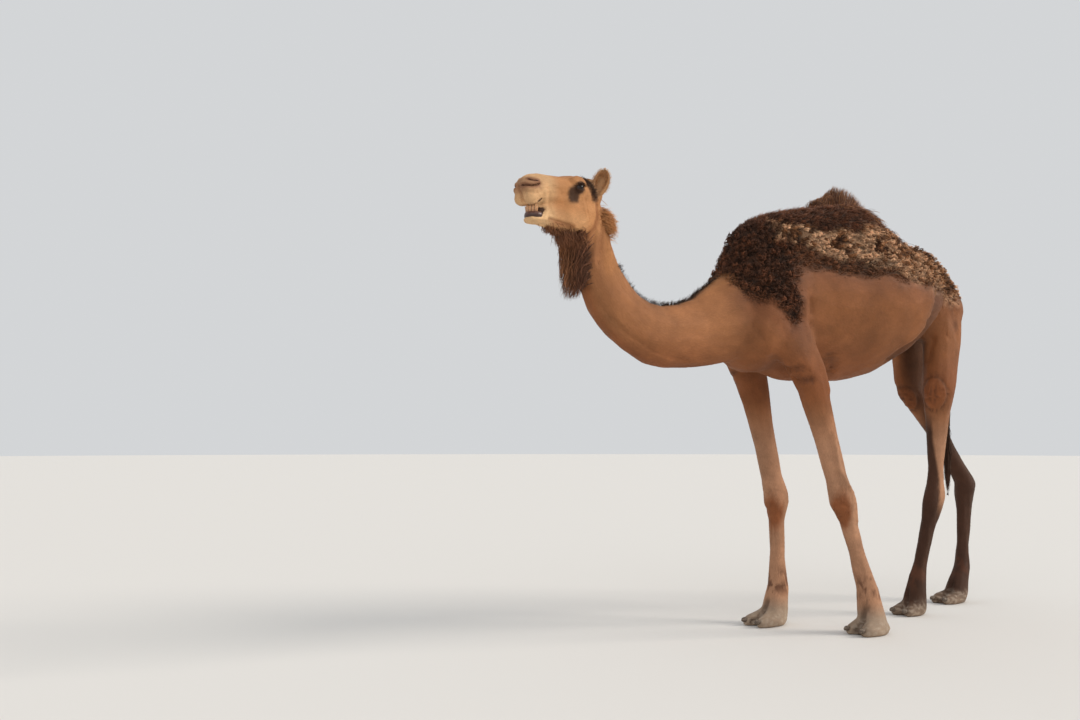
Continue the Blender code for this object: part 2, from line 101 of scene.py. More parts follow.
def soft_sun(name, towards, strength, spread, colour):
    """A wide, even lamp that shines from this side of the studio."""
    lamp = bpy.data.objects.new(name, bpy.data.lights.new(name, "SUN"))
    lamp.data.energy = strength
    lamp.data.angle = math.radians(spread)
    lamp.data.color = colour
    lamp.rotation_mode = "QUATERNION"
    lamp.rotation_quaternion = Vector(towards).to_track_quat("Z", "Y")
    scene.collection.objects.link(lamp)


soft_sun("key", (0.8, -0.62, 0.62), 2.1, 24, (1.0, 0.93, 0.84))
soft_sun("fill", (-0.8, -0.75, 0.7), 0.45, 60, (0.96, 0.98, 1.0))
sky = bpy.data.worlds.new("studio_air")
scene.world = sky
sky.use_nodes = True
sky.node_tree.nodes["Background"].inputs["Color"].default_value = (0.96, 0.98, 1.0, 1)
sky.node_tree.nodes["Background"].inputs["Strength"].default_value = 0.68
scene.view_settings.view_transform = "Standard"


# ---------------------------------------------------------------- skin
# The hide of the whole animal in one piece, from the lips to the tail, without a seam.
# It lies inside the solids by the depth of the coat and carries the folds and the markings.
SLOTS = {part["node"]: part["material_slot"] for part in frame["record"]["subparts"]}
FLESH = [node for node, slot in SLOTS.items() if slot == "short_coat"] + ["hump", "tail_tassel"]

eyes = [(low + high) / 2 for low, high in (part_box("eye_left"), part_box("eye_right"))]
EYE_U, EYE_W = 0.15, 0.046  # the eyes' place in head coordinates
to_left, up = (eyes[0] - eyes[1]).normalized(), Vector((0, 0, 1))
to_nose = to_left.cross(up)
HEAD_ORIGIN = np.array((eyes[0] + eyes[1]) / 2 - to_nose * EYE_U - up * EYE_W)
HEAD_AXES = np.array([to_nose, to_left, up])
HEAD_U, HEAD_V, HEAD_W = HEAD_AXES
eyes = [np.array(eye) for eye in eyes]
SIDES = (1, -1)  # the animal's left and right, in head coordinates


def in_head(points):
    """Head coordinates of points: u towards the nose, v to the left, w up."""
    return (points - HEAD_ORIGIN) @ HEAD_AXES.T


def from_head(points):
    return np.asarray(points, float) @ HEAD_AXES + HEAD_ORIGIN


def ramp(value, low, high):
    """Goes smoothly from 0 at low to 1 at high."""
    t = np.clip((value - low) / (high - low), 0, 1)
    return t * t * (3 - 2 * t)


def fade(value, low, high):
    """Goes smoothly from 1 at low to 0 at high."""
    return 1 - ramp(value, low, high)


def unit(vectors):
    return vectors / np.maximum(np.linalg.norm(vectors, axis=-1, keepdims=True), 1e-9)


def square_to(normals, ways):
    """The part of each way that is square to its normal."""
    return ways - normals * (ways * normals).sum(axis=1, keepdims=True)


def near_path(points, path):
    """Distance of each point from a path of straight runs, and the path's direction there."""
    path = np.asarray(path, float)
    best = np.full(len(points), 1e9)
    along = np.zeros((len(points), 3))
    for start, end in zip(path, path[1:]):
        run = end - start
        share = np.clip((points - start) @ run / (run @ run), 0, 1)
        gap = np.linalg.norm(points - start - share[:, None] * run, axis=1)
        nearer = gap < best
        best[nearer] = gap[nearer]
        along[nearer] = run / np.linalg.norm(run)
    return best, along


def vertex_array(thing, what="co"):
    values = np.empty(len(thing.data.vertices) * 3, np.float32)
    if what == "co":
        thing.data.vertices.foreach_get("co", values)
    else:
        thing.data.vertex_normals.foreach_get("vector", values)
    return values.reshape(-1, 3).astype(float)


def set_vertices(thing, points):
    thing.data.vertices.foreach_set("co", points.astype(np.float32).ravel())
    thing.data.update()


def apply_modifiers(thing):
    bpy.ops.object.select_all(action="DESELECT")
    thing.select_set(True)
    bpy.context.view_layer.objects.active = thing
    for modifier in list(thing.modifiers):
        bpy.ops.object.modifier_apply(modifier=modifier.name)


def joined(things, name):
    bpy.ops.object.select_all(action="DESELECT")
    for thing in things:
        thing.select_set(True)
    bpy.context.view_layer.objects.active = things[0]
    if len(things) > 1:
        bpy.ops.object.join()
    things[0].name = name
    things[0].data.name = name
    return things[0]


def solid_copy(node, swell):
    """A copy of a solid, its doubles merged, that stands out by swell."""
    copy = bpy.data.objects.new(node + "_copy", frame["nodes"][node].data.copy())
    scene.collection.objects.link(copy)
    bm = bmesh.new()
    bm.from_mesh(copy.data)
    bmesh.ops.remove_doubles(bm, verts=bm.verts, dist=1e-5)
    bm.normal_update()
    places = [v.co + v.normal * swell for v in bm.verts]
    for vertex, place in zip(bm.verts, places):
        vertex.co = place
    bm.to_mesh(copy.data)
    bm.free()
    return copy


NECK_AXIS = [(-1.151, 0, 1.82), (-1.151, 0, 1.75), (-1.129, 0, 1.64), (-1.079, 0, 1.52), (-1.004, 0, 1.412)]
NECK_AXIS += [
    (-0.889, 0, 1.332), (-0.739, 0, 1.295), (-0.579, 0, 1.315), (-0.409, 0, 1.375), (-0.249, 0, 1.44),
]
WOOL_EDGE = [(-0.47, 1.66), (-0.43, 1.56), (-0.39, 1.5), (-0.31, 1.455), (-0.255, 1.41), (-0.19, 1.345)]
WOOL_EDGE += [(-0.13, 1.37), (-0.145, 1.47), (-0.16, 1.55), (-0.12, 1.6), (0.015, 1.615), (0.145, 1.598)]
WOOL_EDGE += [(0.24, 1.585), (0.35, 1.598), (0.46, 1.585), (0.58, 1.57), (0.7, 1.575), (0.8, 1.6)]
WOOL_EDGE += [(0.9, 1.565), (0.98, 1.535), (1.08, 1.57), (1.2, 1.64), (1.34, 1.76), (1.34, 2.2), (-0.6, 2.2)]


def inside_edge(x, z, edge=WOOL_EDGE):
    """Distance inside a closed side outline, negative outside it."""
    gap = np.full(len(x), 1e9)
    inside = np.zeros(len(x), bool)
    for (x0, z0), (x1, z1) in zip(edge, edge[1:] + edge[:1]):
        along = (x - x0) * (x1 - x0) + (z - z0) * (z1 - z0)
        share = np.clip(along / ((x1 - x0) ** 2 + (z1 - z0) ** 2), 0, 1)
        gap = np.minimum(gap, np.hypot(x - x0 - share * (x1 - x0), z - z0 - share * (z1 - z0)))
        crosses = (z0 > z) != (z1 > z)
        with np.errstate(divide="ignore", invalid="ignore"):
            inside ^= crosses & (x < (x1 - x0) * (z - z0) / (z1 - z0) + x0)
    return np.where(inside, gap, -gap)


CURL_SIZE = 0.023
CURL_MIX = np.array(
    ((12.99, 39.35, 73.16, 26.65), (78.23, 11.14, 52.24, 94.67), (37.72, 83.16, 9.75, 61.33))
)


def waves(points, size, seed):
    """A smooth random field of about -1 to 1 with lumps of this size."""
    draw = np.random.default_rng(seed)
    total = np.zeros(len(points))
    for _ in range(10):
        way = unit(draw.normal(size=3)) * draw.uniform(0.6, 1.5) * math.pi / size
        total += np.sin(points @ way + draw.uniform(0, 2 * math.pi))
    return total / 3.2


def curls(points, size):
    """How far off the middle of the nearest curl is, in curl sizes, that curl's own number
    from 0 to 1, and the way to its middle."""
    cell = np.floor(points / size)
    nearest, own, towards = np.full(len(points), 9.0), np.zeros(len(points)), np.zeros(points.shape)
    for step in np.ndindex(3, 3, 3):
        near = cell + np.array(step) - 1
        chance = (np.sin(near @ CURL_MIX) * 43758.5453) % 1
        way = (near + chance[:, :3]) * size - points
        gap = np.linalg.norm(way, axis=1) / size
        closer = gap < nearest
        nearest, own = np.where(closer, gap, nearest), np.where(closer, chance[:, 3], own)
        towards = np.where(closer[:, None], way, towards)
    return nearest, own, towards


def wool_curls(points):
    """The curls of the wool: long upright ones on the shoulder, round ones along the back."""
    front = (points[:, 0] < -0.15)[:, None]
    stretch = np.where(front, (1.45, 1.45, 0.62), (1.0, 1.0, 1.0))
    off, own, towards = curls(points * stretch, CURL_SIZE)
    return off, own, towards / stretch


def head_share(points):
    """1 on the head, 0 on the neck and the body."""
    u, _, w = in_head(points).T
    return ramp(u + 0.35 * w, -0.05, 0.02) * ramp(w, -0.2, -0.14) * (points[:, 0] < -0.95)


def ear_share(points):
    share = np.zeros(len(points))
    for node in ("ear_left", "ear_right"):
        low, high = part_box(node)
        middle = np.array((low + high) / 2)
        share = np.maximum(share, fade(np.linalg.norm(points - middle, axis=1), 0.05, 0.066))
    return share


def ear_frame(side):
    """Middle of an ear and its three directions: across, up along it, and out of its cup."""
    facing = unit(0.73 * HEAD_U + 0.68 * side * HEAD_V)
    tall = unit(HEAD_W + 0.31 * side * HEAD_V - 0.16 * HEAD_U)
    facing = unit(facing - tall * (facing @ tall))
    return from_head((0.018, 0.052 * side, 0.044)) + 0.049 * tall, np.cross(tall, facing), tall, facing


def in_ear(points):
    """1 inside the cup of an ear."""
    share = np.zeros(len(points))
    for side in SIDES:
        middle, across, tall, facing = ear_frame(side)
        a, h, d = ((points - middle) @ np.array([across, tall, facing]).T).T
        half = 0.034 * np.sqrt(np.clip(1 - (h / 0.06) ** 2, 0.01, 1))
        cup = fade(np.abs(a) / half, 0.4, 0.75) * ramp(d, -0.004, 0.003)
        share = np.maximum(share, cup * (np.abs(h) < 0.055) * (np.abs(d) < 0.03))
    return share


def wool_share(points):
    """1 in the curly wool of the shoulder, hump and back."""
    return ramp(wool_inset(points), -0.016, 0.03)


def wool_inset(points):
    """How far inside the ragged edge of the wool each point lies."""
    ragged = 0.012 * waves(points, 0.08, 5) + 0.007 * waves(points, 0.025, 6)
    return inside_edge(points[:, 0], points[:, 2]) + ragged


def coat_depth(points):
    """How far the skin lies under the tips of the coat."""
    depth = np.full(len(points), 0.0045)
    depth += 0.013 * ramp(inside_edge(points[:, 0], points[:, 2]), -0.03, 0.06)
    depth *= 1 - 0.45 * head_share(points)
    depth *= 1 - 0.75 * ear_share(points)
    depth *= 1 - 0.5 * fade(points[:, 2], 0.1, 0.25)
    low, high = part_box("tail_tassel")
    x, y, z = points.T
    in_tassel = (z < high.z) & (z > low.z) & (x > low.x - 0.02) & (x < high.x + 0.02)
    in_tassel &= np.abs(y) < high.y + 0.02
    return np.where(in_tassel, 0.011, depth)


def edge_pairs(thing):
    pairs = np.empty(len(thing.data.edges) * 2, np.int32)
    thing.data.edges.foreach_get("vertices", pairs)
    return pairs.reshape(-1, 2)


def softened(points, pairs, rounds, share=1.0, steps=(0.55, -0.57)):
    """The points evened out with their neighbours, by turns inwards and outwards so nothing shrinks."""
    first, second = pairs.T
    count = np.bincount(first, minlength=len(points)) + np.bincount(second, minlength=len(points))
    count = np.maximum(count, 1)[:, None]
    share = np.broadcast_to(np.asarray(share, float).reshape(-1, 1), (len(points), 1))
    for _ in range(rounds):
        for step in steps:
            total = np.empty_like(points)
            for axis in range(3):
                column = points[:, axis]
                total[:, axis] = np.bincount(first, column[second], len(points))
                total[:, axis] += np.bincount(second, column[first], len(points))
            points = points + step * share * (total / count - points)
    return points


def hide_of(nodes, name, grain, rounds, head_rounds):
    """One closed hide round these solids, evened out and drawn in by the depth of the coat."""
    hide = joined([solid_copy(node, SWELL) for node in nodes], name)
    remesh = hide.modifiers.new("one_hide", "REMESH")
    remesh.mode = "VOXEL"
    remesh.voxel_size = grain
    apply_modifiers(hide)
    pairs = edge_pairs(hide)
    points = vertex_array(hide)
    points = softened(points, pairs, head_rounds)
    points = softened(points, pairs, rounds, 1 - head_share(points))
    set_vertices(hide, points)
    points = points - vertex_array(hide, "normal") * coat_depth(points)[:, None]
    set_vertices(hide, softened(points, pairs, 2))
    return hide


def open_neck(hide, above):
    """Cuts the neck level at NECK_SEAM and keeps what is above it, or below it."""
    keep = 1 if above else -1
    bm = bmesh.new()
    bm.from_mesh(hide.data)
    near = [face for face in bm.faces if face.calc_center_median().x < NECK_FRONT]
    parts = near + list({e for f in near for e in f.edges}) + list({v for f in near for v in f.verts})
    level = Vector((0, 0, NECK_SEAM + keep * SEAM_GAP / 2))
    bmesh.ops.bisect_plane(bm, geom=parts, plane_co=level, plane_no=(0, 0, keep), clear_inner=True)
    bm.to_mesh(hide.data)
    bm.free()


SWELL = 0.0006  # lets neighbouring solids overlap before they become one hide
BODY_GRAIN, HEAD_GRAIN = 0.007, 0.0035
BODY_FACES_KEPT = 0.22
NECK_SEAM = 1.62
SEAM_GAP = 0.008
NECK_FRONT = -0.9
HEAD_NODES = ["head", "jaw", "ear_left", "ear_right"]
body_hide = hide_of([node for node in FLESH if node not in HEAD_NODES], "body_hide", BODY_GRAIN, 20, 2)
body_hide.modifiers.new("triangles", "TRIANGULATE")
thin = body_hide.modifiers.new("thin", "DECIMATE")
thin.ratio = BODY_FACES_KEPT
apply_modifiers(body_hide)
head_hide = hide_of([*HEAD_NODES, "neck_upper", "eye_left", "eye_right"], "head_hide", HEAD_GRAIN, 40, 8)
open_neck(body_hide, above=False)
open_neck(head_hide, above=True)
skin = joined([body_hide, head_hide], "skin")
bpy.ops.object.mode_set(mode="EDIT")
bpy.ops.mesh.select_mode(type="EDGE")
bpy.ops.mesh.select_all(action="DESELECT")
bpy.ops.mesh.select_non_manifold()
bpy.ops.mesh.bridge_edge_loops()
bpy.ops.mesh.select_all(action="SELECT")
bpy.ops.mesh.quads_convert_to_tris()
bpy.ops.object.mode_set(mode="OBJECT")
points = vertex_array(skin)
at_seam = fade(np.abs(points[:, 2] - NECK_SEAM), 0.02, 0.06)
at_seam *= points[:, 0] < NECK_FRONT
set_vertices(skin, softened(points, edge_pairs(skin), 12, at_seam))


# ---------------------------------------------------------------- folds of the head
# Lids, nostrils, lips and cheek folds are pressed and raised in the skin, on a finer grain.
# The lids hug the eyeball and part in an almond-shaped opening.
EYE_RADIUS = 0.0185
LID_THICK = 0.0016
OPENING_HALF = 0.0172
UPPER_LID, LOWER_LID = 0.0112, 0.0088
NOSTRIL_SLIT = [
    (0.434, 0.018, 0.01), (0.424, 0.032, 0.012), (0.408, 0.044, 0.011), (0.39, 0.05, 0.015),
    (0.374, 0.052, 0.023),
]
NOSTRIL_UPPER = [(0.412, 0.028, 0.038), (0.397, 0.043, 0.034), (0.383, 0.05, 0.031)]
MOUTH_LINE = [(0.374, 0.036, -0.066), (0.36, 0.042, -0.061), (0.35, 0.045, -0.052), (0.342, 0.046, -0.038)]


def on_side(path, side):
    """A path in head coordinates, mirrored for the right side and placed in the model's frame."""
    return from_head([(u, side * v, w) for u, v, w in path])


def lying_on(tree, path, step=0.004):
    """The path in short steps, each set on the nearest place of the surface."""
    path = np.asarray(path, float)
    spots = []
    for start, end in zip(path, path[1:]):
        count = max(int(np.linalg.norm(end - start) / step), 1)
        spots += [start + (end - start) * i / count for i in range(count)]
    return np.array([tree.find_nearest(Vector(spot))[0] for spot in [*spots, path[-1]]])


def surface_tree(thing):
    count = len(thing.data.polygons)
    corners = np.empty(count * 3, np.int32)
    thing.data.loops.foreach_get("vertex_index", corners)
    return BVHTree.FromPolygons(vertex_array(thing).tolist(), corners.reshape(-1, 3).tolist())


def refine(thing, chosen):
    """Halves the edges of the chosen faces."""
    for part in (thing.data.vertices, thing.data.edges):
        part.foreach_set("select", np.zeros(len(part), bool))
    thing.data.polygons.foreach_set("select", chosen)
    bpy.context.view_layer.objects.active = thing
    bpy.ops.object.mode_set(mode="EDIT")
    bpy.ops.mesh.select_mode(type="FACE")
    bpy.ops.mesh.subdivide(number_cuts=1)
    bpy.ops.mesh.select_all(action="SELECT")
    bpy.ops.mesh.quads_convert_to_tris()
    bpy.ops.object.mode_set(mode="OBJECT")


def face_middles(thing):
    middles = np.empty(len(thing.data.polygons) * 3, np.float32)
    thing.data.polygons.foreach_get("center", middles)
    return middles.reshape(-1, 3).astype(float)


skin_tree = surface_tree(skin)
for eye_reach, slit_reach in ((0.028, 0.011), (0.0225, 0.0045)):
    middles = face_middles(skin)
    fine = np.zeros(len(middles), bool)
    for eye in eyes:
        fine |= np.linalg.norm(middles - eye, axis=1) < eye_reach
    for side in SIDES:
        for path in (NOSTRIL_SLIT, NOSTRIL_UPPER, MOUTH_LINE):
            fine |= near_path(middles, lying_on(skin_tree, on_side(path, side)))[0] < slit_reach
    refine(skin, fine)
points = vertex_array(skin)
normals = vertex_array(skin, "normal")


def from_pad(points, pad):
    """Distance from the middle of a hard pad, counted shorter along its height."""
    return np.linalg.norm((points - np.array(pad)) * (1, 1, 0.75), axis=1)


def stroke(points, path, width, height):
    """Raises the skin along a path, or presses it in where the height is negative."""
    gap = near_path(points, path)[0]
    return points + normals * (height * np.exp(-((gap / width) ** 2)))[:, None]


HEAD_STROKES = [  # path, width, height
    ([(0.435, 0, 0.01), (0.43, 0, -0.02), (0.405, 0, -0.055)], 0.0045, -0.005),
    (
        [(0.436, 0.014, 0.022), (0.42, 0.036, 0.024), (0.398, 0.05, 0.023), (0.374, 0.053, 0.03)], 0.0065,
        0.004,
    ),
    ([(0.42, 0.02, 0.05), (0.4, 0.034, 0.048), (0.376, 0.044, 0.044)], 0.006, 0.003),
    ([(0.436, 0.022, 0.0), (0.416, 0.044, -0.002), (0.386, 0.054, 0.004)], 0.0075, 0.0035),
    ([(0.434, 0.024, -0.012), (0.41, 0.044, -0.016), (0.38, 0.052, -0.012)], 0.004, -0.0016),
    (NOSTRIL_SLIT, 0.0026, -0.012),
    (NOSTRIL_UPPER, 0.0022, -0.009),
    ([(0.332, 0.048, 0.0), (0.32, 0.048, -0.03), (0.314, 0.046, -0.065), (0.326, 0.04, -0.1)], 0.01, 0.0055),
    ([(0.305, 0.045, 0.0), (0.292, 0.045, -0.03), (0.286, 0.045, -0.075)], 0.008, -0.003),
    ([(0.285, 0.05, 0.03), (0.255, 0.052, 0.02), (0.225, 0.056, 0.024)], 0.01, -0.0022),
    ([(0.19, 0.064, -0.01), (0.225, 0.06, -0.02), (0.27, 0.052, -0.016)], 0.014, 0.003),
    ([(0.176, 0.07, 0.018), (0.205, 0.064, 0.006), (0.24, 0.056, 0.006)], 0.01, -0.0028),
    ([(0.11, 0.058, 0.084), (0.145, 0.062, 0.084), (0.178, 0.056, 0.074)], 0.009, 0.0035),
    ([(0.09, 0.066, 0.06), (0.07, 0.066, 0.04), (0.06, 0.064, 0.015)], 0.014, -0.0045),
    ([(0.13, 0.056, -0.095), (0.09, 0.06, -0.07), (0.066, 0.062, -0.03)], 0.012, 0.0025),
    (MOUTH_LINE, 0.0042, -0.006),
    (
        [(0.021, 0.06, -0.005), (0.032, 0.069, -0.049), (0.052, 0.064, -0.098), (0.079, 0.049, -0.126)],
        0.008, -0.0055,
    ),
    (
        [(0.044, 0.064, -0.005), (0.054, 0.068, -0.045), (0.072, 0.062, -0.088), (0.096, 0.05, -0.112)],
        0.011, 0.0035,
    ),
    ([(0.301, 0.04, -0.1), (0.227, 0.044, -0.104), (0.165, 0.046, -0.11)], 0.006, -0.0035),
    ([(0.031, 0.07, -0.111), (0.041, 0.065, -0.179), (0.044, 0.06, -0.245)], 0.009, 0.004),
    (
        [(0.004, 0.066, -0.05), (0.002, 0.072, -0.11), (0.014, 0.07, -0.18), (0.02, 0.07, -0.24)], 0.009,
        -0.0045,
    ),
    ([(0.125, 0.07, 0.01), (0.115, 0.072, -0.03), (0.095, 0.07, -0.07)], 0.007, 0.0026),
    ([(0.106, 0.072, 0.004), (0.096, 0.072, -0.036), (0.078, 0.07, -0.078)], 0.006, -0.0022),
]
cheek = from_head([(0.225, side * 0.05, -0.045) for side in SIDES])
at_cheek = np.maximum.reduce([fade(np.linalg.norm(points - c, axis=1), 0.03, 0.07) for c in cheek])
points = softened(points, edge_pairs(skin), 40, at_cheek, (0.5,))
for path, width, height in HEAD_STROKES:
    for side in SIDES:
        points = stroke(points, lying_on(skin_tree, on_side(path, side)), width, height)


def gaze(side):
    """Which way an eye looks, and the way square to that towards the nose."""
    out = unit(HEAD_U * 0.22 + HEAD_V * side + HEAD_W * 0.02)
    return out, unit(HEAD_U - out * (HEAD_U @ out))


def lids(points, eye, side):
    """Lays the skin on the eyeball outside the opening of the lids, and behind it within."""
    out, fore = gaze(side)
    fore = unit(fore - 0.16 * HEAD_W)
    up = np.cross(fore, out) * -side
    up = up if up[2] > 0 else -up
    ray = points - eye
    length = np.linalg.norm(ray, axis=1)
    a, b, h = ray @ fore, ray @ up, ray @ out
    half = np.where(b > 0, UPPER_LID, LOWER_LID) * np.clip(1 - (a / OPENING_HALF) ** 2, 0, 1) ** 0.8
    beyond = np.where(np.abs(a) < OPENING_HALF, np.abs(b) - half, np.hypot(np.abs(a) - OPENING_HALF, b))
    near = (h > -0.004) & (length < 0.036)
    skin_at = EYE_RADIUS + LID_THICK * ramp(beyond, -0.0004, 0.0012)
    skin_at += 0.0016 * np.exp(-(((beyond - 0.0034) / 0.0022) ** 2))
    crease = np.exp(-(((beyond - 0.0075) / 0.0018) ** 2)) * 0.0016
    skin_at = np.where(beyond < 0, EYE_RADIUS - 0.005 * ramp(-beyond, 0.0, 0.0016), skin_at)
    lid = near & ((length < skin_at) | (beyond < 0.006))
    ease = np.where(beyond < 0.0045, 1.0, fade(beyond, 0.0045, 0.01))
    wanted = np.where(lid, length + (skin_at - length) * np.maximum(ease, (length < skin_at)), length)
    wanted = wanted - np.where(near, crease, 0)
    return eye + ray * (wanted / np.maximum(length, 1e-6))[:, None]


for side, eye in zip(SIDES, eyes):
    points = lids(points, eye, side)


# ---------------------------------------------------------------- folds of the body
# Creases where the limbs meet the trunk, tendons down the shanks, and hard wrinkled pads
# on the knees and stifles, where the animal kneels.
KNEES = [(0.078, -0.235, 0.585), (0.066, 0.155, 0.575)]
STIFLES = [(0.829, -0.192, 1.085), (1.074, 0.16, 1.066)]
PADS = [(pad, 0.044) for pad in KNEES] + [(pad, 0.06) for pad in STIFLES]  # middle, reach
FLANK_EDGE = [(0.76, 0.284, 1.64), (0.735, 0.296, 1.57), (0.7, 0.307, 1.5), (0.681, 0.29, 1.43)]
FLANK_EDGE = np.array([*FLANK_EDGE, (0.662, 0.242, 1.357), (0.572, 0.206, 1.286), (0.516, 0.166, 1.235)])
UPPER_PLEAT = [(-0.19, -0.14, 1.17), (-0.173, -0.195, 1.164), (-0.149, -0.23, 1.174)]
LOWER_PLEAT = [(-0.17, -0.16, 1.118), (-0.131, -0.218, 1.119), (-0.1, -0.24, 1.125)]
BELLY_FOLD = [(0.105, -0.16, 1.25), (0.13, -0.148, 1.222), (0.168, -0.125, 1.19)]
BODY_STROKES = [  # path, width, height, 1 for the side it is written for or 2 for both
    (FLANK_EDGE, 0.02, -0.022, 2),
    (FLANK_EDGE + (0.055, -0.02, 0), 0.04, -0.022, 2),
    (FLANK_EDGE[:5] + (-0.075, 0.01, 0), 0.045, 0.008, 2),
    ([(0.915, -0.217, 1.56), (0.885, -0.2, 1.46), (0.845, -0.17, 1.36), (0.8, -0.14, 1.27)], 0.02, -0.014, 1),
    ([(0.915, 0.217, 1.56), (0.9, 0.2, 1.46), (0.9, 0.17, 1.36), (0.88, 0.14, 1.27)], 0.02, -0.014, 1),
    (
        [
            (-1.161, -0.028, 1.47), (-1.08, -0.055, 1.365), (-0.965, -0.062, 1.28), (-0.85, -0.066, 1.222),
            (-0.66, -0.066, 1.19),
        ],
        0.008, -0.006, 2,
    ),
    (
        [(-0.12, -0.22, 1.48), (-0.085, -0.235, 1.34), (-0.04, -0.245, 1.2), (-0.01, -0.225, 1.08)], 0.016,
        0.008, 1,
    ),
    ([(-0.12, 0.22, 1.48), (-0.085, 0.235, 1.34), (-0.04, 0.225, 1.2), (-0.02, 0.21, 1.08)], 0.016, 0.008, 1),
    ([(-0.072, -0.23, 1.48), (-0.04, -0.24, 1.34), (0.0, -0.24, 1.2), (0.03, -0.2, 1.1)], 0.012, -0.008, 1),
    ([(-0.072, 0.23, 1.48), (-0.04, 0.24, 1.34), (0.0, 0.22, 1.2), (0.02, 0.19, 1.1)], 0.012, -0.008, 1),
    ([(-0.185, -0.16, 1.165), (-0.15, -0.21, 1.155), (-0.115, -0.235, 1.165)], 0.006, -0.006, 1),
    ([(-0.165, -0.16, 1.115), (-0.13, -0.21, 1.108), (-0.1, -0.23, 1.118)], 0.006, -0.005, 1),
    ([(-0.185, 0.15, 1.165), (-0.15, 0.2, 1.155), (-0.115, 0.225, 1.165)], 0.006, -0.006, 1),
    ([(-0.36, -0.15, 1.36), (-0.33, -0.17, 1.3), (-0.3, -0.18, 1.24)], 0.01, -0.005, 1),
    ([(0.915, -0.21, 1.385), (0.935, -0.22, 1.4), (0.95, -0.22, 1.37)], 0.004, -0.004, 1),
    (
        [(0.93, -0.21, 1.365), (0.955, -0.22, 1.345), (0.985, -0.22, 1.36), (1.0, -0.22, 1.33)], 0.004,
        -0.004, 1,
    ),
    ([(1.0, -0.2, 1.5), (0.985, -0.21, 1.44), (1.0, -0.21, 1.36)], 0.022, -0.008, 2),
    (UPPER_PLEAT, 0.01, -0.012, 1),
    (LOWER_PLEAT, 0.01, -0.012, 1),
    ([*BELLY_FOLD, (0.2, -0.09, 1.165)], 0.01, -0.014, 2),
    (
        [
            (0.02, -0.25, 0.88), (0.046, -0.256, 0.737), (0.085, -0.262, 0.68), (0.131, -0.26, 0.634),
            (0.151, -0.26, 0.572), (0.17, -0.26, 0.5),
        ],
        0.01, 0.009, 1,
    ),
    ([(0.0, -0.25, 0.86), (0.02, -0.256, 0.73), (0.055, -0.262, 0.66)], 0.012, -0.006, 1),
    ([(0.055, -0.25, 0.84), (0.085, -0.25, 0.72), (0.12, -0.25, 0.66)], 0.012, -0.006, 1),
    ([(0.03, 0.21, 0.86), (0.036, 0.21, 0.737), (0.065, 0.21, 0.68), (0.1, 0.2, 0.634)], 0.01, 0.009, 1),
    ([(1.3, 0.09, 0.9), (1.392, 0.088, 0.796), (1.44, 0.078, 0.717), (1.49, 0.09, 0.62)], 0.05, 0.012, 1),
]
SADDLE_FILL = 0.052  # hide and wool that fill the dip between hump and rump
HUMP_DRAWN_IN = 0.22  # share of its width that the upper hump loses behind the tuft
FAR_EAR_DROP = 0.01
CLEFTS = []
normals = vertex_array(skin, "normal")
for path, width, height, count in BODY_STROKES:
    for side in SIDES[:count]:
        points = stroke(points, lying_on(skin_tree, np.array(path) * (1, side, 1), 0.02), width, height)
for mount in frame["record"]["mounts"]:
    x, y, _ = mount["pos_m"]
    leg = mount["name"].replace("sole_", "")
    nails = [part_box(f"{leg}_nail_{toe}") for toe in ("inner", "outer")]
    toe = np.mean([np.array((low + high) / 2) for low, high in nails], axis=0)
    cleft = [(x, y, 0.115)]
    for near, far, height in ((0.7, 0.3, 0.08), (0.3, 0.7, 0.05)):
        cleft.append((near * x + far * toe[0], near * y + far * toe[1], height))
    cleft.append((*toe[:2], 0.012))
    CLEFTS.append(lying_on(skin_tree, cleft))
    points = stroke(points, CLEFTS[-1], 0.01, -0.013)
    heel = np.linalg.norm(points - np.array((x + 0.085, y, 0.045)), axis=1)
    points = points + normals * (1, 1, 0) * (0.013 * np.exp(-((heel / 0.055) ** 2)))[:, None]
for pad, reach in PADS:
    gap = from_pad(points, pad)
    wrinkle = 0.0034 * waves(points * (1, 1, 2.2), 0.018, 21) * fade(gap, reach - 0.015, reach)
    groove = 0.0035 * np.exp(-(((gap - reach - 0.007) / 0.006) ** 2))
    rim = 0.005 * fade(gap, reach - 0.006, reach + 0.004) - groove
    points = points + normals * (wrinkle + rim)[:, None]
x, y, z = points.T
saddle = ramp(x, 0.8, 0.9) * fade(x, 1.08, 1.24) * fade(np.abs(y), 0.05, 0.22) * ramp(z, 1.62, 1.74)
points[:, 2] += SADDLE_FILL * saddle
narrow = ramp(z, 1.79, 1.9) * ramp(x, 0.34, 0.5) * fade(x, 0.76, 0.9)
points[:, 1] *= 1 - HUMP_DRAWN_IN * narrow
middle, _, tall, _ = ear_frame(-1)
tip = ramp((points - middle) @ tall, 0.015, 0.055) * (np.linalg.norm(points - middle, axis=1) < 0.075)
points = points - tall * (FAR_EAR_DROP * tip)[:, None]
z = points[:, 2]
sinews = waves(points * (1, 1, 0.12), 0.02, 22) * fade(z, 0.55, 0.95) * ramp(z, 0.1, 0.2)
points = points - normals * (0.006 * in_ear(points))[:, None]
veins = waves(points, 0.16, 23) * ramp(points[:, 2], 0.9, 1.1)
veins = veins * (1 - head_share(points)) * (1 - wool_share(points))
points = points + normals * (0.0014 * sinews + 0.0035 * veins)[:, None]
WOOL_LUMP = 0.034
lumps = waves(points, WOOL_LUMP, 24) * wool_share(points)
points = points + normals * (0.005 * lumps)[:, None]
set_vertices(skin, points)
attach(skin, "root")
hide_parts(*[node for node in FLESH if node != "tail_tassel"])


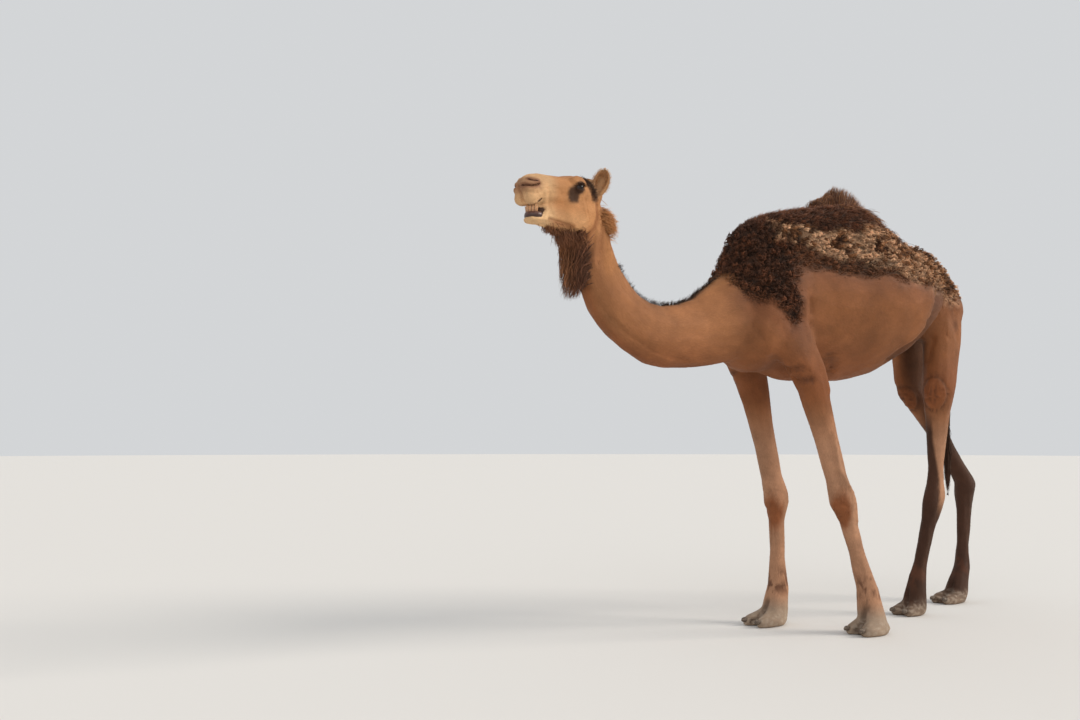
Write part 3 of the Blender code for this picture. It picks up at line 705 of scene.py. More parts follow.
# ---------------------------------------------------------------- markings
# Tan sides, a paler face and throat edge, dark rings at the eyes, a dark crest, dark brown hind
# shanks, rust-brown knees and stifles, and wool from dark brown in front to pale tan behind.
TAN = (0.245, 0.092, 0.034)
NECK_TAN = (0.32, 0.134, 0.054)
RUST = (0.22, 0.07, 0.024)
PALE = (0.64, 0.38, 0.19)
CHEEK = (0.5, 0.232, 0.092)
DARK = (0.045, 0.019, 0.01)
NAPE = (0.43, 0.185, 0.062)
SHANK = (0.39, 0.205, 0.118)
HIND_SHANK = (0.04, 0.015, 0.008)
DUSTY = (0.3, 0.215, 0.15)
LIP = (0.26, 0.12, 0.065)
WOOL_DARK = (0.088, 0.033, 0.017)
WOOL_RUST = (0.165, 0.058, 0.026)
WOOL_PALE = (0.76, 0.46, 0.27)
WOOL_GOLD = (0.43, 0.185, 0.072)
FRINGE = (0.19, 0.072, 0.03)
MUD = (0.42, 0.33, 0.25)
TEMPLE = (0.06, 0.028, 0.016)
# EAR_CUP is painted shade in the hollow of each ear.
EAR_CUP = (0.2, 0.105, 0.062)


def tinted(base, colour, share):
    """base shifted towards a colour by each point's share."""
    share = np.asarray(share, float).reshape(-1, 1)
    return np.asarray(base) * (1 - share) + np.array(colour) * share


def painted(base, *coats):
    """base shifted towards one colour after another, each by its own share."""
    for colour, share in coats:
        base = tinted(base, colour, share)
    return base


BAND = (  # of pale wool: x, its middle and half its height
    (-0.15, 0.0, 0.15, 0.3, 0.45, 0.6, 0.8, 1.0),
    (1.79, 1.77, 1.755, 1.755, 1.745, 1.73, 1.71, 1.65),
    (0.045, 0.055, 0.08, 0.1, 0.135, 0.17, 0.21, 0.22),
)


def wool_shade(points):
    """Colour of the wool: dark in front, pale along the side of the hump, golden behind, lighter on top
    of the hump as painted light and darker between the curls as painted shade.
    """
    x, _, z = points.T
    off, own, _ = wool_curls(points)
    mix, clump = waves(points, 0.05, 31), waves(points, 0.075, 34)
    low_front = fade(x, -0.3, -0.22) * fade(z, 1.62, 1.76)
    lobe = fade(z, 1.42, 1.56) * fade(x, -0.12, -0.05)
    middle, half = np.interp(x, BAND[0], BAND[1]), np.interp(x, BAND[0], BAND[2])
    level = np.abs(z + 0.02 * clump - middle) / half
    band = fade(level, 0.72, 1.15) * ramp(x + 0.03 * mix, -0.2, -0.12)
    rear = ramp(x, 0.3, 0.6)
    pale = band * ramp(own + 0.35 * clump, 0.3 + 0.12 * rear, 0.62 + 0.2 * rear) * (1 - 0.35 * rear)
    fringe = fade((z - middle) / half, -1.15, -0.85) * ramp(x, -0.15, -0.08)
    shade = painted(
        WOOL_DARK,
        (WOOL_RUST, np.clip(0.6 * low_front + 0.4 * lobe + 0.35 * mix + 1.2 * (own - 0.45), 0, 1)),
        # Lighter rusty wool on top of the hump: painted light.
        (WOOL_RUST, 0.6 * ramp(z, 1.8, 1.92)),
        (WOOL_GOLD, band * np.clip(0.35 + own + 0.3 * clump, 0, 1)),
        (WOOL_PALE, np.clip(1.1 * pale, 0, 1)),
        (FRINGE, 0.75 * fringe),
    )
    # Each curl lighter or darker at random, and darker towards its edges as painted shade between the curls.
    return shade * ((0.72 + 0.6 * own) * (1 - 0.6 * ramp(off, 0.34, 0.66)))[:, None]


def shank_line():
    """Height, x and y of the middle of the left hind leg."""
    points = vertex_array(skin)
    x, y, z = points.T
    x, y, z = points[(x > 0.6) & (x < 1.08) & (y < 0.06) & (z < 1.0)].T
    steps = np.arange(0.05, 0.96, 0.05)
    near = [np.abs(z - step) < 0.03 for step in steps]
    return np.array([(step, x[part].mean(), y[part].mean()) for step, part in zip(steps, near)]).T


SHANK_LINE = shank_line()
EDGE_LINE = FLANK_EDGE[::-1, [2, 0]].T
# The dark lines in the elbow and belly folds and in the hollow beside the tail head are painted shade.
CREASES = [  # path, share of shade in it
    (UPPER_PLEAT, 0.75),
    (LOWER_PLEAT, 0.75),
    (BELLY_FOLD, 0.35),
    ([(0.956, -0.21, 1.55), (0.985, -0.212, 1.48), (1.005, -0.21, 1.41)], 0.5),
]


def body_markings(points, patch, fleck):
    """Tan sides, a dark crest, a rusty throat, dark hind shanks and dusty feet. The rust-brown band low on
    the belly is painted warm light reflected from the ground; shade is painted in creases, toe clefts,
    between the thighs and behind the barrel.
    """
    x, y, z = points.T
    left = (x < 1.08) & (y < 0.06)
    inward = (y - np.interp(z, *SHANK_LINE[[0, 2]])) * 0.6 - (x - np.interp(z, *SHANK_LINE[:2])) * 0.8
    slant = 0.05 * fade(z, 0.6, 0.95)
    front = ramp(inward, 0.028 - slant, 0.045 - slant)
    hind_left = np.maximum(front * fade(z, 0.9, 1.02), fade(z + 0.03 * patch, 0.46, 0.6))
    hind_right = fade(z - 0.25 * (x - 1.2) + 0.04 * patch, 0.82, 1.02)
    # inner marks the inner faces of the hind thighs, darkened as painted shade between the legs.
    inner = (x > 0.6) * ramp(z, 0.8, 0.92) * fade(z, 1.36, 1.52) * fade(np.abs(y), 0.1, 0.155)
    # past and behind mark the front of the thigh just behind the barrel's edge, darkened as painted shade.
    past = x - np.interp(z, *EDGE_LINE)
    behind = ramp(past, 0.0, 0.03) * fade(past, 0.08, 0.24) * ramp(z, 1.2, 1.28) * fade(z, 1.58, 1.67)
    shade = painted(
        TAN,
        (NECK_TAN, fade(x, -0.5, -0.2) * 0.8),
        # A rust-brown band low on the belly: painted warm light reflected from the ground.
        (RUST, 0.75 * fade(z, 1.12, 1.36) * ramp(z, 0.95, 1.1)),
        (WOOL_DARK, 0.45 * np.exp(-(((x + 0.13) / 0.1) ** 2 + ((z - 1.3) / 0.1) ** 2))),
        (WOOL_RUST, 0.4 * np.exp(-(((x + 0.36) / 0.09) ** 2 + ((z - 1.42) / 0.14) ** 2))),
        (WOOL_RUST, 0.55 * fade(-inside_edge(x, z), 0.0, 0.13) * (z > 1.3)),
        (SHANK, 0.85 * fade(z, 0.8, 1.05)),
        (HIND_SHANK, 0.95 * (x > 0.55) * np.where(left, hind_left, hind_right)),
        # Painted shade between the thighs.
        (DARK, 0.72 * inner),
        # Painted shade behind the barrel.
        (WOOL_DARK, 0.75 * behind * (np.abs(y) > 0.1)),
    )
    # Painted shade along each crease, on both sides.
    for path, share in CREASES:
        for side in SIDES[::-1]:
            gap = near_path(points * (1, side, 1), path)[0]
            shade = tinted(shade, WOOL_DARK, share * fade(gap, 0.006, 0.024))
    mottle = ramp(fleck + 0.6 * waves(points, 0.012, 37), 0.0, 0.5)
    shade = tinted(shade, WOOL_DARK, 0.85 * fade(z, 0.2, 0.3) * ramp(z, 0.12, 0.17) * mottle)
    shade = tinted(shade, DUSTY, np.where(x > 0.55, 0.6 * fade(z, 0.015, 0.08), fade(z, 0.06, 0.15)))
    # Painted shade in the cleft between the two toes of each foot.
    for cleft in CLEFTS:
        shade = tinted(shade, DARK, 0.75 * fade(near_path(points, cleft)[0], 0.006, 0.022))
    shade = tinted(shade, MUD, 0.55 * (fade(z, 0.03, 0.09) * ramp(waves(points, 0.012, 36), 0.1, 0.6)))
    for knee in KNEES:
        gap = np.linalg.norm((points - np.array(knee) + (0, 0, 0.035)) * (1, 1, 0.45), axis=1)
        shade = tinted(shade, RUST, 0.95 * fade(gap, 0.034, 0.056))
    for stifle in STIFLES:
        gap = from_pad(points, stifle)
        shade = tinted(shade, RUST, 0.7 * fade(gap, 0.05, 0.064))
        shade = tinted(shade, DARK, 0.55 * np.exp(-(((gap - 0.066) / 0.007) ** 2)))
        shade = tinted(shade, DARK, 0.55 * fade(gap, 0.02, 0.05) * ramp(waves(points, 0.014, 38), 0.0, 0.7))
    neck_gap, _ = near_path(points, NECK_AXIS)
    on_neck = (x < -0.4) * (neck_gap < 0.2) * (1 - head_share(points))
    above = z - np.interp(x, *np.array(NECK_AXIS[1:])[:, [0, 2]].T)
    crest = on_neck * fade(np.abs(y), 0.012, 0.032) * ramp(above, 0.05, 0.09) * ramp(x, -1.06, -0.98)
    throat = on_neck * fade(np.abs(y), 0.02, 0.05) * fade(above, -0.11, -0.05)
    upper_neck = on_neck * ramp(z, 1.46, 1.6)
    return painted(
        shade,
        (DARK, 0.75 * crest),
        (RUST, 0.6 * throat),
        (NAPE, 0.55 * upper_neck * ramp(x, -1.14, -1.08)),
        (WOOL_DARK, 0.8 * upper_neck * fade(x + 0.3 * np.abs(y), -1.17, -1.12)),
    )


# Lines on the side of the head as u and w; the trough runs below the eye.
TROUGH = [(0.158, 0.044), (0.19, 0.024), (0.184, 0.002), (0.166, 0.004), (0.166, 0.026)]
# JAW_LINE and JAW_BORDER follow the grooves behind and under the jaw, where shade is painted.
JAW_LINE = [(0.03, 0.01), (0.028, -0.05), (0.048, -0.1), (0.076, -0.13)]
JAW_BORDER = [(0.3, -0.098), (0.227, -0.103), (0.165, -0.108)]
TEMPLE_LINE = [(0.098, 0.088), (0.07, 0.064), (0.045, 0.026)]


def face_markings(points):
    """A pale muzzle, dark rings at the eyes, dark troughs below them partly painted as shadow, a dark temple,
    and painted shade: reddish in the jaw grooves, brown on the front of the nose and dark along the mouth.
    """
    u, v, w = in_head(points).T
    v = np.abs(v)
    outer = v > 0.03

    def line(path, low, high):
        """1 along a path over the side of the head, at any width of it."""
        return fade(near_path(np.c_[u, np.zeros(len(u)), w], [(a, 0, b) for a, b in path])[0], low, high)

    ring = fade(np.hypot((u - EYE_U) / 1.15, w - EYE_W), 0.02, 0.03)
    face = painted(
        CHEEK,
        (PALE, ramp(u, 0.24, 0.31) + 0.35 * fade(w, -0.09, -0.03) * ramp(u, 0.05, 0.12)),
        (NECK_TAN, 0.7 * ramp(w, 0.06, 0.1) * fade(u, 0.24, 0.3)),
        # The dark trough below each eye: partly a dark tear stain, partly painted shadow.
        (DARK, 0.94 * line(TROUGH, 0.009, 0.028) * outer),
        # Reddish painted shade in the grooves behind and under the jaw.
        (RUST, 0.55 * line(JAW_LINE, 0.004, 0.016) * outer),
        (RUST, 0.5 * line(JAW_BORDER, 0.003, 0.014)),
        (DARK, 0.95 * ring * outer),
        (TEMPLE, 0.8 * line(TEMPLE_LINE, 0.009, 0.028) * outer),
    )
    for slit in (NOSTRIL_SLIT, NOSTRIL_UPPER):
        gap = near_path(np.c_[u, v, w], slit)[0]
        face = tinted(face, LIP, 0.75 * fade(gap, 0.004, 0.018) + 0.25 * fade(gap, 0.018, 0.034))
    # The lower edge of the upper lip darkens, partly as its own dark rim and partly as painted shade of the
    # mouth's opening.
    lip_edge = ramp(u, 0.31, 0.34) * fade(np.abs(w + 0.064), 0.006, 0.016)
    lip_rim = ramp(u, 0.335, 0.35) * fade(u, 0.395, 0.415) * fade(np.abs(w + 0.066), 0.004, 0.01)
    return painted(
        face,
        # Brown on the front of the nose and down the cleft of the upper lip: painted shade.
        (LIP, 0.5 * ramp(u, 0.412, 0.434) * ramp(w, -0.05, -0.015) * fade(w, 0.03, 0.05)),
        (LIP, 0.55 * fade(v, 0.004, 0.014) * ramp(u, 0.4, 0.42)),
        # Painted shade along the mouth, over the lip's dark rim.
        (LIP, 0.5 * lip_edge),
        (DARK, 0.8 * lip_rim),
        (RUST, 0.45 * fade(w, -0.135, -0.11) * fade(u, 0.24, 0.3)),
    )


def markings(points):
    """Colour of the hide and of the short coat at each point."""
    patch, fleck = waves(points, 0.11, 32), waves(points, 0.03, 33)
    head = head_share(points)[:, None]
    shade = body_markings(points, patch, fleck) * (1 - head) + face_markings(points) * head
    # Painted shade in the hollow of the ears.
    shade = painted(shade, (PALE, 0.5 * ear_share(points)), (EAR_CUP, 0.42 * in_ear(points)))
    return shade * (1 + 0.1 * patch + 0.05 * fleck)[:, None].clip(0.5, 1.5)


def paint(mesh, name, colours):
    """Gives each vertex its own colour, kept under this name."""
    layer = mesh.color_attributes.new(name, "FLOAT_COLOR", "POINT")
    layer.data.foreach_set("color", np.c_[colours, np.ones(len(colours))].astype(np.float32).ravel())


def dress(thing, material):
    thing.data.materials.clear()
    thing.data.materials.append(material)
    thing.data.shade_smooth()


def in_slits(points):
    """1 deep in the nostrils, in the corners of the mouth and inside it, where the skin is bare; the dark
    paint there is painted shade.
    """
    share = np.zeros(len(points))
    for side in SIDES:
        for path, width in ((NOSTRIL_SLIT, 0.0036), (NOSTRIL_UPPER, 0.0032), (MOUTH_LINE, 0.0055)):
            gap = near_path(points, lying_on(skin_tree, on_side(path, side)))[0]
            share = np.maximum(share, fade(gap, width * 0.7, width * 1.5))
    u, v, w = in_head(points).T
    mouth = ramp(u, 0.315, 0.325) * (np.abs(v) < 0.036) * (w < -0.055) * (w > -0.098) * fade(u, 0.385, 0.395)
    return np.maximum(share, mouth)


points = vertex_array(skin)
woolly = wool_share(points)
shade = markings(points)
tufted = ramp(wool_inset(points), -0.045, 0.04)
# Under the wool the skin takes the wool's colour, a little darker as painted shade among the locks.
shade = shade * (1 - tufted)[:, None] + 0.85 * wool_shade(points) * tufted[:, None]
# The nostrils, mouth corners and inside of the mouth painted nearly black: painted shade.
shade = tinted(shade, (0.03, 0.012, 0.01), 0.95 * in_slits(points))
paint(skin.data, "coat", shade)
x, y, z = points.T
turn = np.arctan2(x + 0.66, 1.8 - z)
neck_grain = np.c_[turn * 0.42, np.hypot(x + 0.66, z - 1.8), y]
trunk_grain = np.c_[0.8 * x - 0.6 * z, 0.6 * x + 0.8 * z, y]
leg_grain = np.c_[-z, x + 0.75, y]
head_grain = in_head(points) * (-1, 1, 1)
grain = trunk_grain
for other, share in (
    (neck_grain, fade(x, -0.5, -0.28)),
    (leg_grain, fade(z, 0.95, 1.2)),
    (head_grain, head_share(points)),
):
    grain = grain * (1 - share[:, None]) + other * share[:, None]
grain[:, 0] *= 0.13
flow = skin.data.attributes.new("grain", "FLOAT_VECTOR", "POINT")
flow.data.foreach_set("vector", grain.astype(np.float32).ravel())
fleece = skin.data.attributes.new("fleece", "FLOAT", "POINT")
fleece.data.foreach_set("value", woolly.astype(np.float32))
bpy.ops.object.select_all(action="DESELECT")
skin.select_set(True)
bpy.context.view_layer.objects.active = skin
skin.data.uv_layers.new(name="OFBake")
bpy.ops.object.mode_set(mode="EDIT")
bpy.ops.mesh.select_all(action="SELECT")
bpy.ops.uv.smart_project(angle_limit=math.radians(66), island_margin=0.001)
bpy.ops.object.mode_set(mode="OBJECT")


def node_of(made, kind, values=(), **settings):
    """A new node of this kind. Each of its inputs takes a number, or the output it is linked to."""
    node = made.node_tree.nodes.new("ShaderNode" + kind)
    for name, value in settings.items():
        setattr(node, name, value)
    for socket, value in dict(values).items():
        if isinstance(value, bpy.types.NodeSocket):
            made.node_tree.links.new(value, node.inputs[socket])
        else:
            node.inputs[socket].default_value = value
    return node


def scaled(made, source, low, high, onto_low, onto_high):
    """Maps a value from one range to another."""
    ends = {"From Min": low, "From Max": high, "To Min": onto_low, "To Max": onto_high}
    return node_of(made, "MapRange", {"Value": source, **ends}).outputs["Result"]


def noise_of(made, source, size, detail=5, rough=0.6, twist=0.0):
    values = {"Vector": source, "Scale": size, "Detail": detail, "Roughness": rough, "Distortion": twist}
    return node_of(made, "TexNoise", values).outputs["Fac"]


def arithmetic(made, operation, first, second):
    return node_of(made, "Math", {0: first, 1: second}, operation=operation).outputs["Value"]


def named_value(made, name, output="Fac"):
    """Reads one of a piece's own named values."""
    return node_of(made, "Attribute", attribute_name=name).outputs[output]


def coloured(made, shader, colour, level):
    """Shows a colour made lighter or darker by a level."""
    node = node_of(made, "VectorMath", {0: colour, 1: level}, operation="MULTIPLY")
    made.node_tree.links.new(node.outputs["Vector"], shader.inputs["Base Color"])


def bumped(made, shader, height, depth):
    node = node_of(made, "Bump", {"Strength": 1.0, "Distance": depth, "Height": height})
    made.node_tree.links.new(node.outputs["Normal"], shader.inputs["Normal"])


def new_material(name, roughness, specular, sheen):
    """A material and its shader, each vertex's own painted colour, and the place on the piece."""
    made = bpy.data.materials.new(name)
    made.use_nodes = True
    shader = made.node_tree.nodes["Principled BSDF"]
    shader.inputs["Roughness"].default_value = roughness
    shader.inputs["Specular IOR Level"].default_value = specular
    shader.inputs["Sheen Weight"].default_value = sheen
    shader.inputs["Sheen Roughness"].default_value = 0.5
    shader.inputs["Sheen Tint"].default_value = (0.85, 0.62, 0.42, 1)
    own = node_of(made, "VertexColor", layer_name="coat").outputs["Color"]
    return made, shader, own, node_of(made, "TexCoord").outputs["Object"]


# Hide: fine hair lies over it as long, thin streaks, and felted curls under the wool.
hide, shader, own, place = new_material("hide", 0.66, 0.16, 0.06)
under_fleece = named_value(hide, "fleece")
streak = noise_of(hide, named_value(hide, "grain", "Vector"), 520, 4, 0.6)
felt = noise_of(hide, place, 95, 3, 0.55, 2.2)
blotch = noise_of(hide, place, 22, 5, 0.6)
streaked, blotched = scaled(hide, streak, 0.3, 0.7, 0.84, 1.16), scaled(hide, blotch, 0.3, 0.7, 0.9, 1.1)
level = arithmetic(hide, "MULTIPLY", streaked, blotched)
# felted darkens the felt in its hollows and lightens it on its tops: painted shade and light.
felted = arithmetic(hide, "MULTIPLY", scaled(hide, felt, 0.35, 0.65, -0.45, 0.25), under_fleece)
level = arithmetic(hide, "MULTIPLY", level, arithmetic(hide, "ADD", 1.0, felted))
coloured(hide, shader, own, level)
height = arithmetic(hide, "MULTIPLY", streak, 0.001)
felt_height = arithmetic(hide, "MULTIPLY", arithmetic(hide, "MULTIPLY", felt, under_fleece), 0.014)
bumped(hide, shader, arithmetic(hide, "ADD", height, felt_height), 1.0)
dress(skin, hide)

# Hair: each lock's own colour from root to tip, with faint lengthwise changes.
hair, shader, own, place = new_material("hair", 0.58, 0.18, 0.06)
coloured(hair, shader, own, scaled(hair, noise_of(hair, place, 700, 3), 0.3, 0.7, 0.86, 1.14))


# ---------------------------------------------------------------- lie of the coat
# Hair points back along the head, down the neck towards the trunk, back and down over the
# sides, and straight down the legs. Every lock is one closed, tapering strand.
corner_index = np.empty(len(skin.data.polygons) * 3, np.int32)
skin.data.loops.foreach_get("vertex_index", corner_index)
corner_index = corner_index.reshape(-1, 3)
CORNERS = vertex_array(skin)[corner_index]
CORNER_NORMALS = vertex_array(skin, "normal")[corner_index]
loop_uv = np.empty(len(corner_index) * 6, np.float32)
skin.data.uv_layers["OFBake"].data.foreach_get("uv", loop_uv)
CORNER_UV = loop_uv.reshape(-1, 3, 2).astype(float)
face_cross = np.cross(CORNERS[:, 1] - CORNERS[:, 0], CORNERS[:, 2] - CORNERS[:, 0])
FACE_AREA = np.linalg.norm(face_cross, axis=1) / 2
FACE_MIDDLE = CORNERS.mean(axis=1)
PATCH = 0.003  # size of each lock's patch on the unwrap


def lie(points, normals):
    """Which way the coat lies at each point, along the skin."""
    x, _, z = points.T
    way = np.tile((0.8, 0.0, -0.6), (len(points), 1))
    way[:, 2] -= 0.25 * np.sin(np.clip((x - 0.2) * 3, -1.5, 1.5))
    _, neck_way = near_path(points, NECK_AXIS)
    on_neck = fade(x, -0.5, -0.28)[:, None]
    way = way * (1 - on_neck) + (neck_way * 0.95 - np.array((0, 0, 0.25))) * on_neck
    on_leg = fade(z, 0.95, 1.2)[:, None]
    way = way * (1 - on_leg) + np.array((0.1, 0.0, -1.0)) * on_leg
    head = head_share(points)[:, None]
    back = -HEAD_U - 0.25 * HEAD_W
    way = way * (1 - head) + back * head
    on_ear = ear_share(points)[:, None]
    way = way * (1 - on_ear) + np.array((0.0, 0.0, 1.0)) * on_ear
    return unit(square_to(normals, way))


def roots(count, share, seed):
    """Random places on the skin, thick where share of a face's middle is 1 and none where it is 0."""
    draw = np.random.default_rng(seed)
    weight = np.cumsum(FACE_AREA * np.clip(share(FACE_MIDDLE), 0, 1))
    picks = np.searchsorted(weight, (np.arange(count) + draw.random(count)) / count * weight[-1])
    picks = np.minimum(picks, len(weight) - 1)
    a, b = draw.random((2, count))
    over = a + b > 1
    a, b = np.where(over, 1 - a, a), np.where(over, 1 - b, b)
    part = np.stack((1 - a - b, a, b), axis=1)[..., None]
    places = (CORNERS[picks] * part).sum(axis=1)
    normals = unit((CORNER_NORMALS[picks] * part).sum(axis=1))
    return places, normals, (CORNER_UV[picks] * part).sum(axis=1), draw


def hair_piece(name, line, width, flatness, base, levels, spots, normals, smooth=True):
    """One mesh of many closed strands along line (strand, station, xyz), each ending in a point.
    levels make a strand's base colour darker or lighter from root to tip."""
    sides = 3
    colour = base[:, None] * np.asarray(levels)[None, :, None]
    count, stations, _ = line.shape
    tangent = unit(np.gradient(line, axis=1))
    side = np.empty_like(line)
    side[:, 0] = unit(np.cross(normals, tangent[:, 0]) + 1e-6)
    for k in range(1, stations):
        side[:, k] = unit(square_to(tangent[:, k], side[:, k - 1]))
    up = np.cross(tangent, side)
    turn = np.pi / 2 + 2 * np.pi * np.arange(sides) / sides
    cosine, sine = np.cos(turn)[None, None, :, None], np.sin(turn)[None, None, :, None]
    body = slice(0, stations - 1)
    rings = line[:, body, None] + side[:, body, None] * cosine * width[:, body, None, None]
    rings = rings + up[:, body, None] * sine * (width * flatness)[:, body, None, None]
    each = (stations - 1) * sides + 1
    verts = np.concatenate((rings.reshape(count, -1, 3), line[:, -1:]), axis=1).reshape(-1, 3)
    index, where, totals = [], [], []
    for k in range(stations - 2):
        for j in range(sides):
            m = (j + 1) % sides
            index += [k * sides + j, k * sides + m, (k + 1) * sides + m, (k + 1) * sides + j]
            where += [(j, k), (j + 1, k), (j + 1, k + 1), (j, k + 1)]
            totals.append(4)
    last = (stations - 2) * sides
    for j in range(sides):
        index += [last + j, last + (j + 1) % sides, each - 1]
        where += [(j, stations - 2), (j + 1, stations - 2), (j + 0.5, stations - 1)]
        totals.append(3)
    index += list(range(sides))[::-1]
    where += [(j, 0) for j in range(sides)][::-1]
    totals.append(sides)
    index, where, totals = np.array(index), np.array(where, float), np.array(totals)
    mesh = bpy.data.meshes.new(name)
    mesh.vertices.add(len(verts))
    mesh.vertices.foreach_set("co", verts.astype(np.float32).ravel())
    loops = (index[None] + each * np.arange(count)[:, None]).ravel()
    mesh.loops.add(len(loops))
    mesh.loops.foreach_set("vertex_index", loops.astype(np.int32))
    mesh.polygons.add(len(totals) * count)
    starts = np.r_[0, np.cumsum(totals)[:-1]] + len(index) * np.arange(count)[:, None]
    mesh.polygons.foreach_set("loop_start", starts.ravel().astype(np.int32))
    mesh.update(calc_edges=True)
    patch = (where / (sides, stations - 1) - 0.5) * PATCH
    uv = mesh.uv_layers.new(name="OFBake")
    uv.data.foreach_set("uv", (spots[:, None] + patch[None]).astype(np.float32).ravel())
    tint = np.concatenate((np.repeat(colour[:, body], sides, axis=1), colour[:, -1:]), axis=1).reshape(-1, 3)
    paint(mesh, "coat", tint)
    mesh.polygons.foreach_set("use_smooth", np.full(len(mesh.polygons), smooth))
    mesh.materials.append(hair)
    piece = bpy.data.objects.new(name, mesh)
    scene.collection.objects.link(piece)
    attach(piece, "root")
    return piece


# ---------------------------------------------------------------- short coat
# Flat, glossy summer hair. Each lock is a thin flat blade that lies along the body; blades are
# shortest on the face and the feet.
def bare_share(points):
    """1 on the bare pads, lips, nostrils and soles, where no short hair grows."""
    share = in_slits(points)
    for pad, reach in PADS:
        gap = from_pad(points, pad)
        share = np.maximum(share, fade(gap, reach - 0.014, reach))
    for eye in eyes:
        share = np.maximum(share, fade(np.linalg.norm(points - eye, axis=1), 0.0205, 0.0235))
    return np.maximum(share, fade(points[:, 2], 0.012, 0.022))


coat_tree = surface_tree(skin)


def laid(places, lift):
    """Places moved onto the skin, then raised by their own lift."""
    out = np.empty_like(places)
    for i, place in enumerate(places):
        foot, normal, _, _ = coat_tree.find_nearest(Vector(place))
        out[i] = foot + normal * lift[i]
    return out


def short_coat(name, count, share, seed, length, width, lift):
    """Flat blades over part of the skin."""
    places, normals, spots, draw = roots(count, lambda p: share(p) * (1 - bare_share(p)), seed)
    way = unit(lie(places, normals) + 0.14 * draw.normal(size=places.shape))
    small = 1 - 0.5 * fade(places[:, 2], 0.08, 0.35)
    long = length * small * draw.uniform(0.7, 1.25, count)
    raised = lift * small * draw.uniform(0.5, 1.3, count)
    middle = laid(places + way * (0.45 * long)[:, None], raised)
    tips = laid(places + way * long[:, None], 0.8 * raised)
    line = np.stack((places - normals * 0.0012, middle, tips), axis=1)
    wide = (width * small)[:, None] * np.array((0.7, 1.0, 0.0))
    base = markings(places) * draw.uniform(0.94, 1.16, count)[:, None]
    hair_piece(name, line, wide, 0.22, base, (0.98, 1.03, 1.08), spots, normals, smooth=False)


def neck_part(p):
    return fade(p[:, 0], -0.42, -0.4) * (1 - head_share(p)) * (1 - ear_share(p))


def trunk_part(p):
    return (p[:, 0] > -0.41) * (p[:, 2] > 0.95) * (1 - 0.85 * wool_share(p))


short_coat("coat_head", 11500, lambda p: head_share(p) * (1 - ear_share(p)), 101, 0.012, 0.0008, 0.0005)
short_coat("coat_ears", 2200, ear_share, 102, 0.013, 0.0007, 0.0007)
short_coat("coat_neck", 10000, neck_part, 103, 0.022, 0.001, 0.0005)
short_coat("coat_left_side", 8000, lambda p: trunk_part(p) * (p[:, 1] < 0), 104, 0.024, 0.0011, 0.0005)
short_coat("coat_right_side", 8000, lambda p: trunk_part(p) * (p[:, 1] >= 0), 105, 0.024, 0.0011, 0.0005)
short_coat("coat_legs", 9500, lambda p: p[:, 2] <= 0.95, 106, 0.018, 0.0011, 0.0006)


# ---------------------------------------------------------------- wool
# Thick wool left on the shoulder, hump and back. It grows in small ringlets, which hang in
# strings on the shoulder, felt into soft clumps along the side and lie fine on top of the hump.
def grown(places, normals, way, reach):
    """Straight lines from just under the skin, reach (strand, station) long, along way."""
    return places[:, None] - normals[:, None] * 0.002 + way[:, None] * reach[..., None]


def wool_locks(name, count, share, seed):
    """Ringlets that gather into curls, a few ringlets to a curl."""

    def thick(p):
        return share(p) * wool_share(p) * (1.15 - 1.4 * wool_curls(p)[0]).clip(0.08, 1)

    places, normals, spots, draw = roots(count, thick, seed)
    off, _, towards = wool_curls(places)
    x, _, z = places.T
    stations = 8
    t = np.linspace(0, 1, stations)
    down = lie(places, normals)
    fine = ramp(z, 1.8, 1.87) * fade(x, 0.25, 0.5)
    inner = ramp(wool_inset(places), 0.0, 0.055)
    long = draw.uniform(0.01, 0.017, count) * (1 + 0.7 * fine) * (0.55 + 0.45 * inner)
    middle = (1 - (off / 0.7) ** 2).clip(0, 1)
    high = (0.008 + 0.01 * middle) * draw.uniform(0.75, 1.25, count) * (0.3 + 0.7 * inner)
    curl = draw.uniform(0.0034, 0.0054, count) * (1 - 0.62 * fine) * (0.5 + 0.5 * inner)
    turns = draw.uniform(0.9, 1.7, count) * 2 * np.pi * draw.choice((-1, 1), count)
    angle = draw.uniform(0, 2 * np.pi, (count, 1)) + turns[:, None] * t
    across = np.cross(normals, down)
    forward = unit(down + across * (draw.normal(size=count) * 0.55 * (1 - 0.4 * fine))[:, None])
    across = np.cross(normals, forward)
    grow = curl[:, None] * np.minimum(t * 3, 1)[None]
    gather = square_to(normals, towards)
    line = grown(places, normals, forward, long[:, None] * t)
    line = line + (0.55 * gather)[:, None] * t[None, :, None]
    rise = high[:, None] * np.sin(np.minimum(t * 2.4, 1.8)) + grow * np.sin(angle)
    line = line + normals[:, None] * rise[..., None] + across[:, None] * (grow * np.cos(angle))[..., None]
    wide = (draw.uniform(0.0018, 0.0028, count) * (1 - 0.35 * fine))[:, None] * (1 - 0.6 * t**2)
    inner = (0.3 + 0.7 * inner)[:, None]
    base = wool_shade(places) * inner + markings(places) * (1 - inner)
    base = base * draw.uniform(0.8, 1.25, count)[:, None]
    hair_piece(name, line, wide, 0.8, base, np.linspace(0.55, 1.3, stations), spots, normals)


def behind_shoulder(p):
    """1 behind the shoulder, less on top of the hump."""
    return (p[:, 0] >= -0.1) * (1 - 0.45 * ramp(p[:, 2], 1.83, 1.9))


wool_locks("wool_front", 4100, lambda p: (p[:, 0] < -0.1) * 1.0, 201)
wool_locks("wool_left", 4100, lambda p: behind_shoulder(p) * (p[:, 1] < 0), 202)
wool_locks("wool_right", 4100, lambda p: behind_shoulder(p) * (p[:, 1] >= 0), 203)


def on_top(points):
    """1 high on the hump, where the wool is short, fine and nearly straight."""
    high = ramp(points[:, 2], 1.78, 1.86) * 0.75
    return wool_share(points) * (0.25 + high * (1 - 0.5 * ramp(points[:, 0], 0.5, 0.8)))


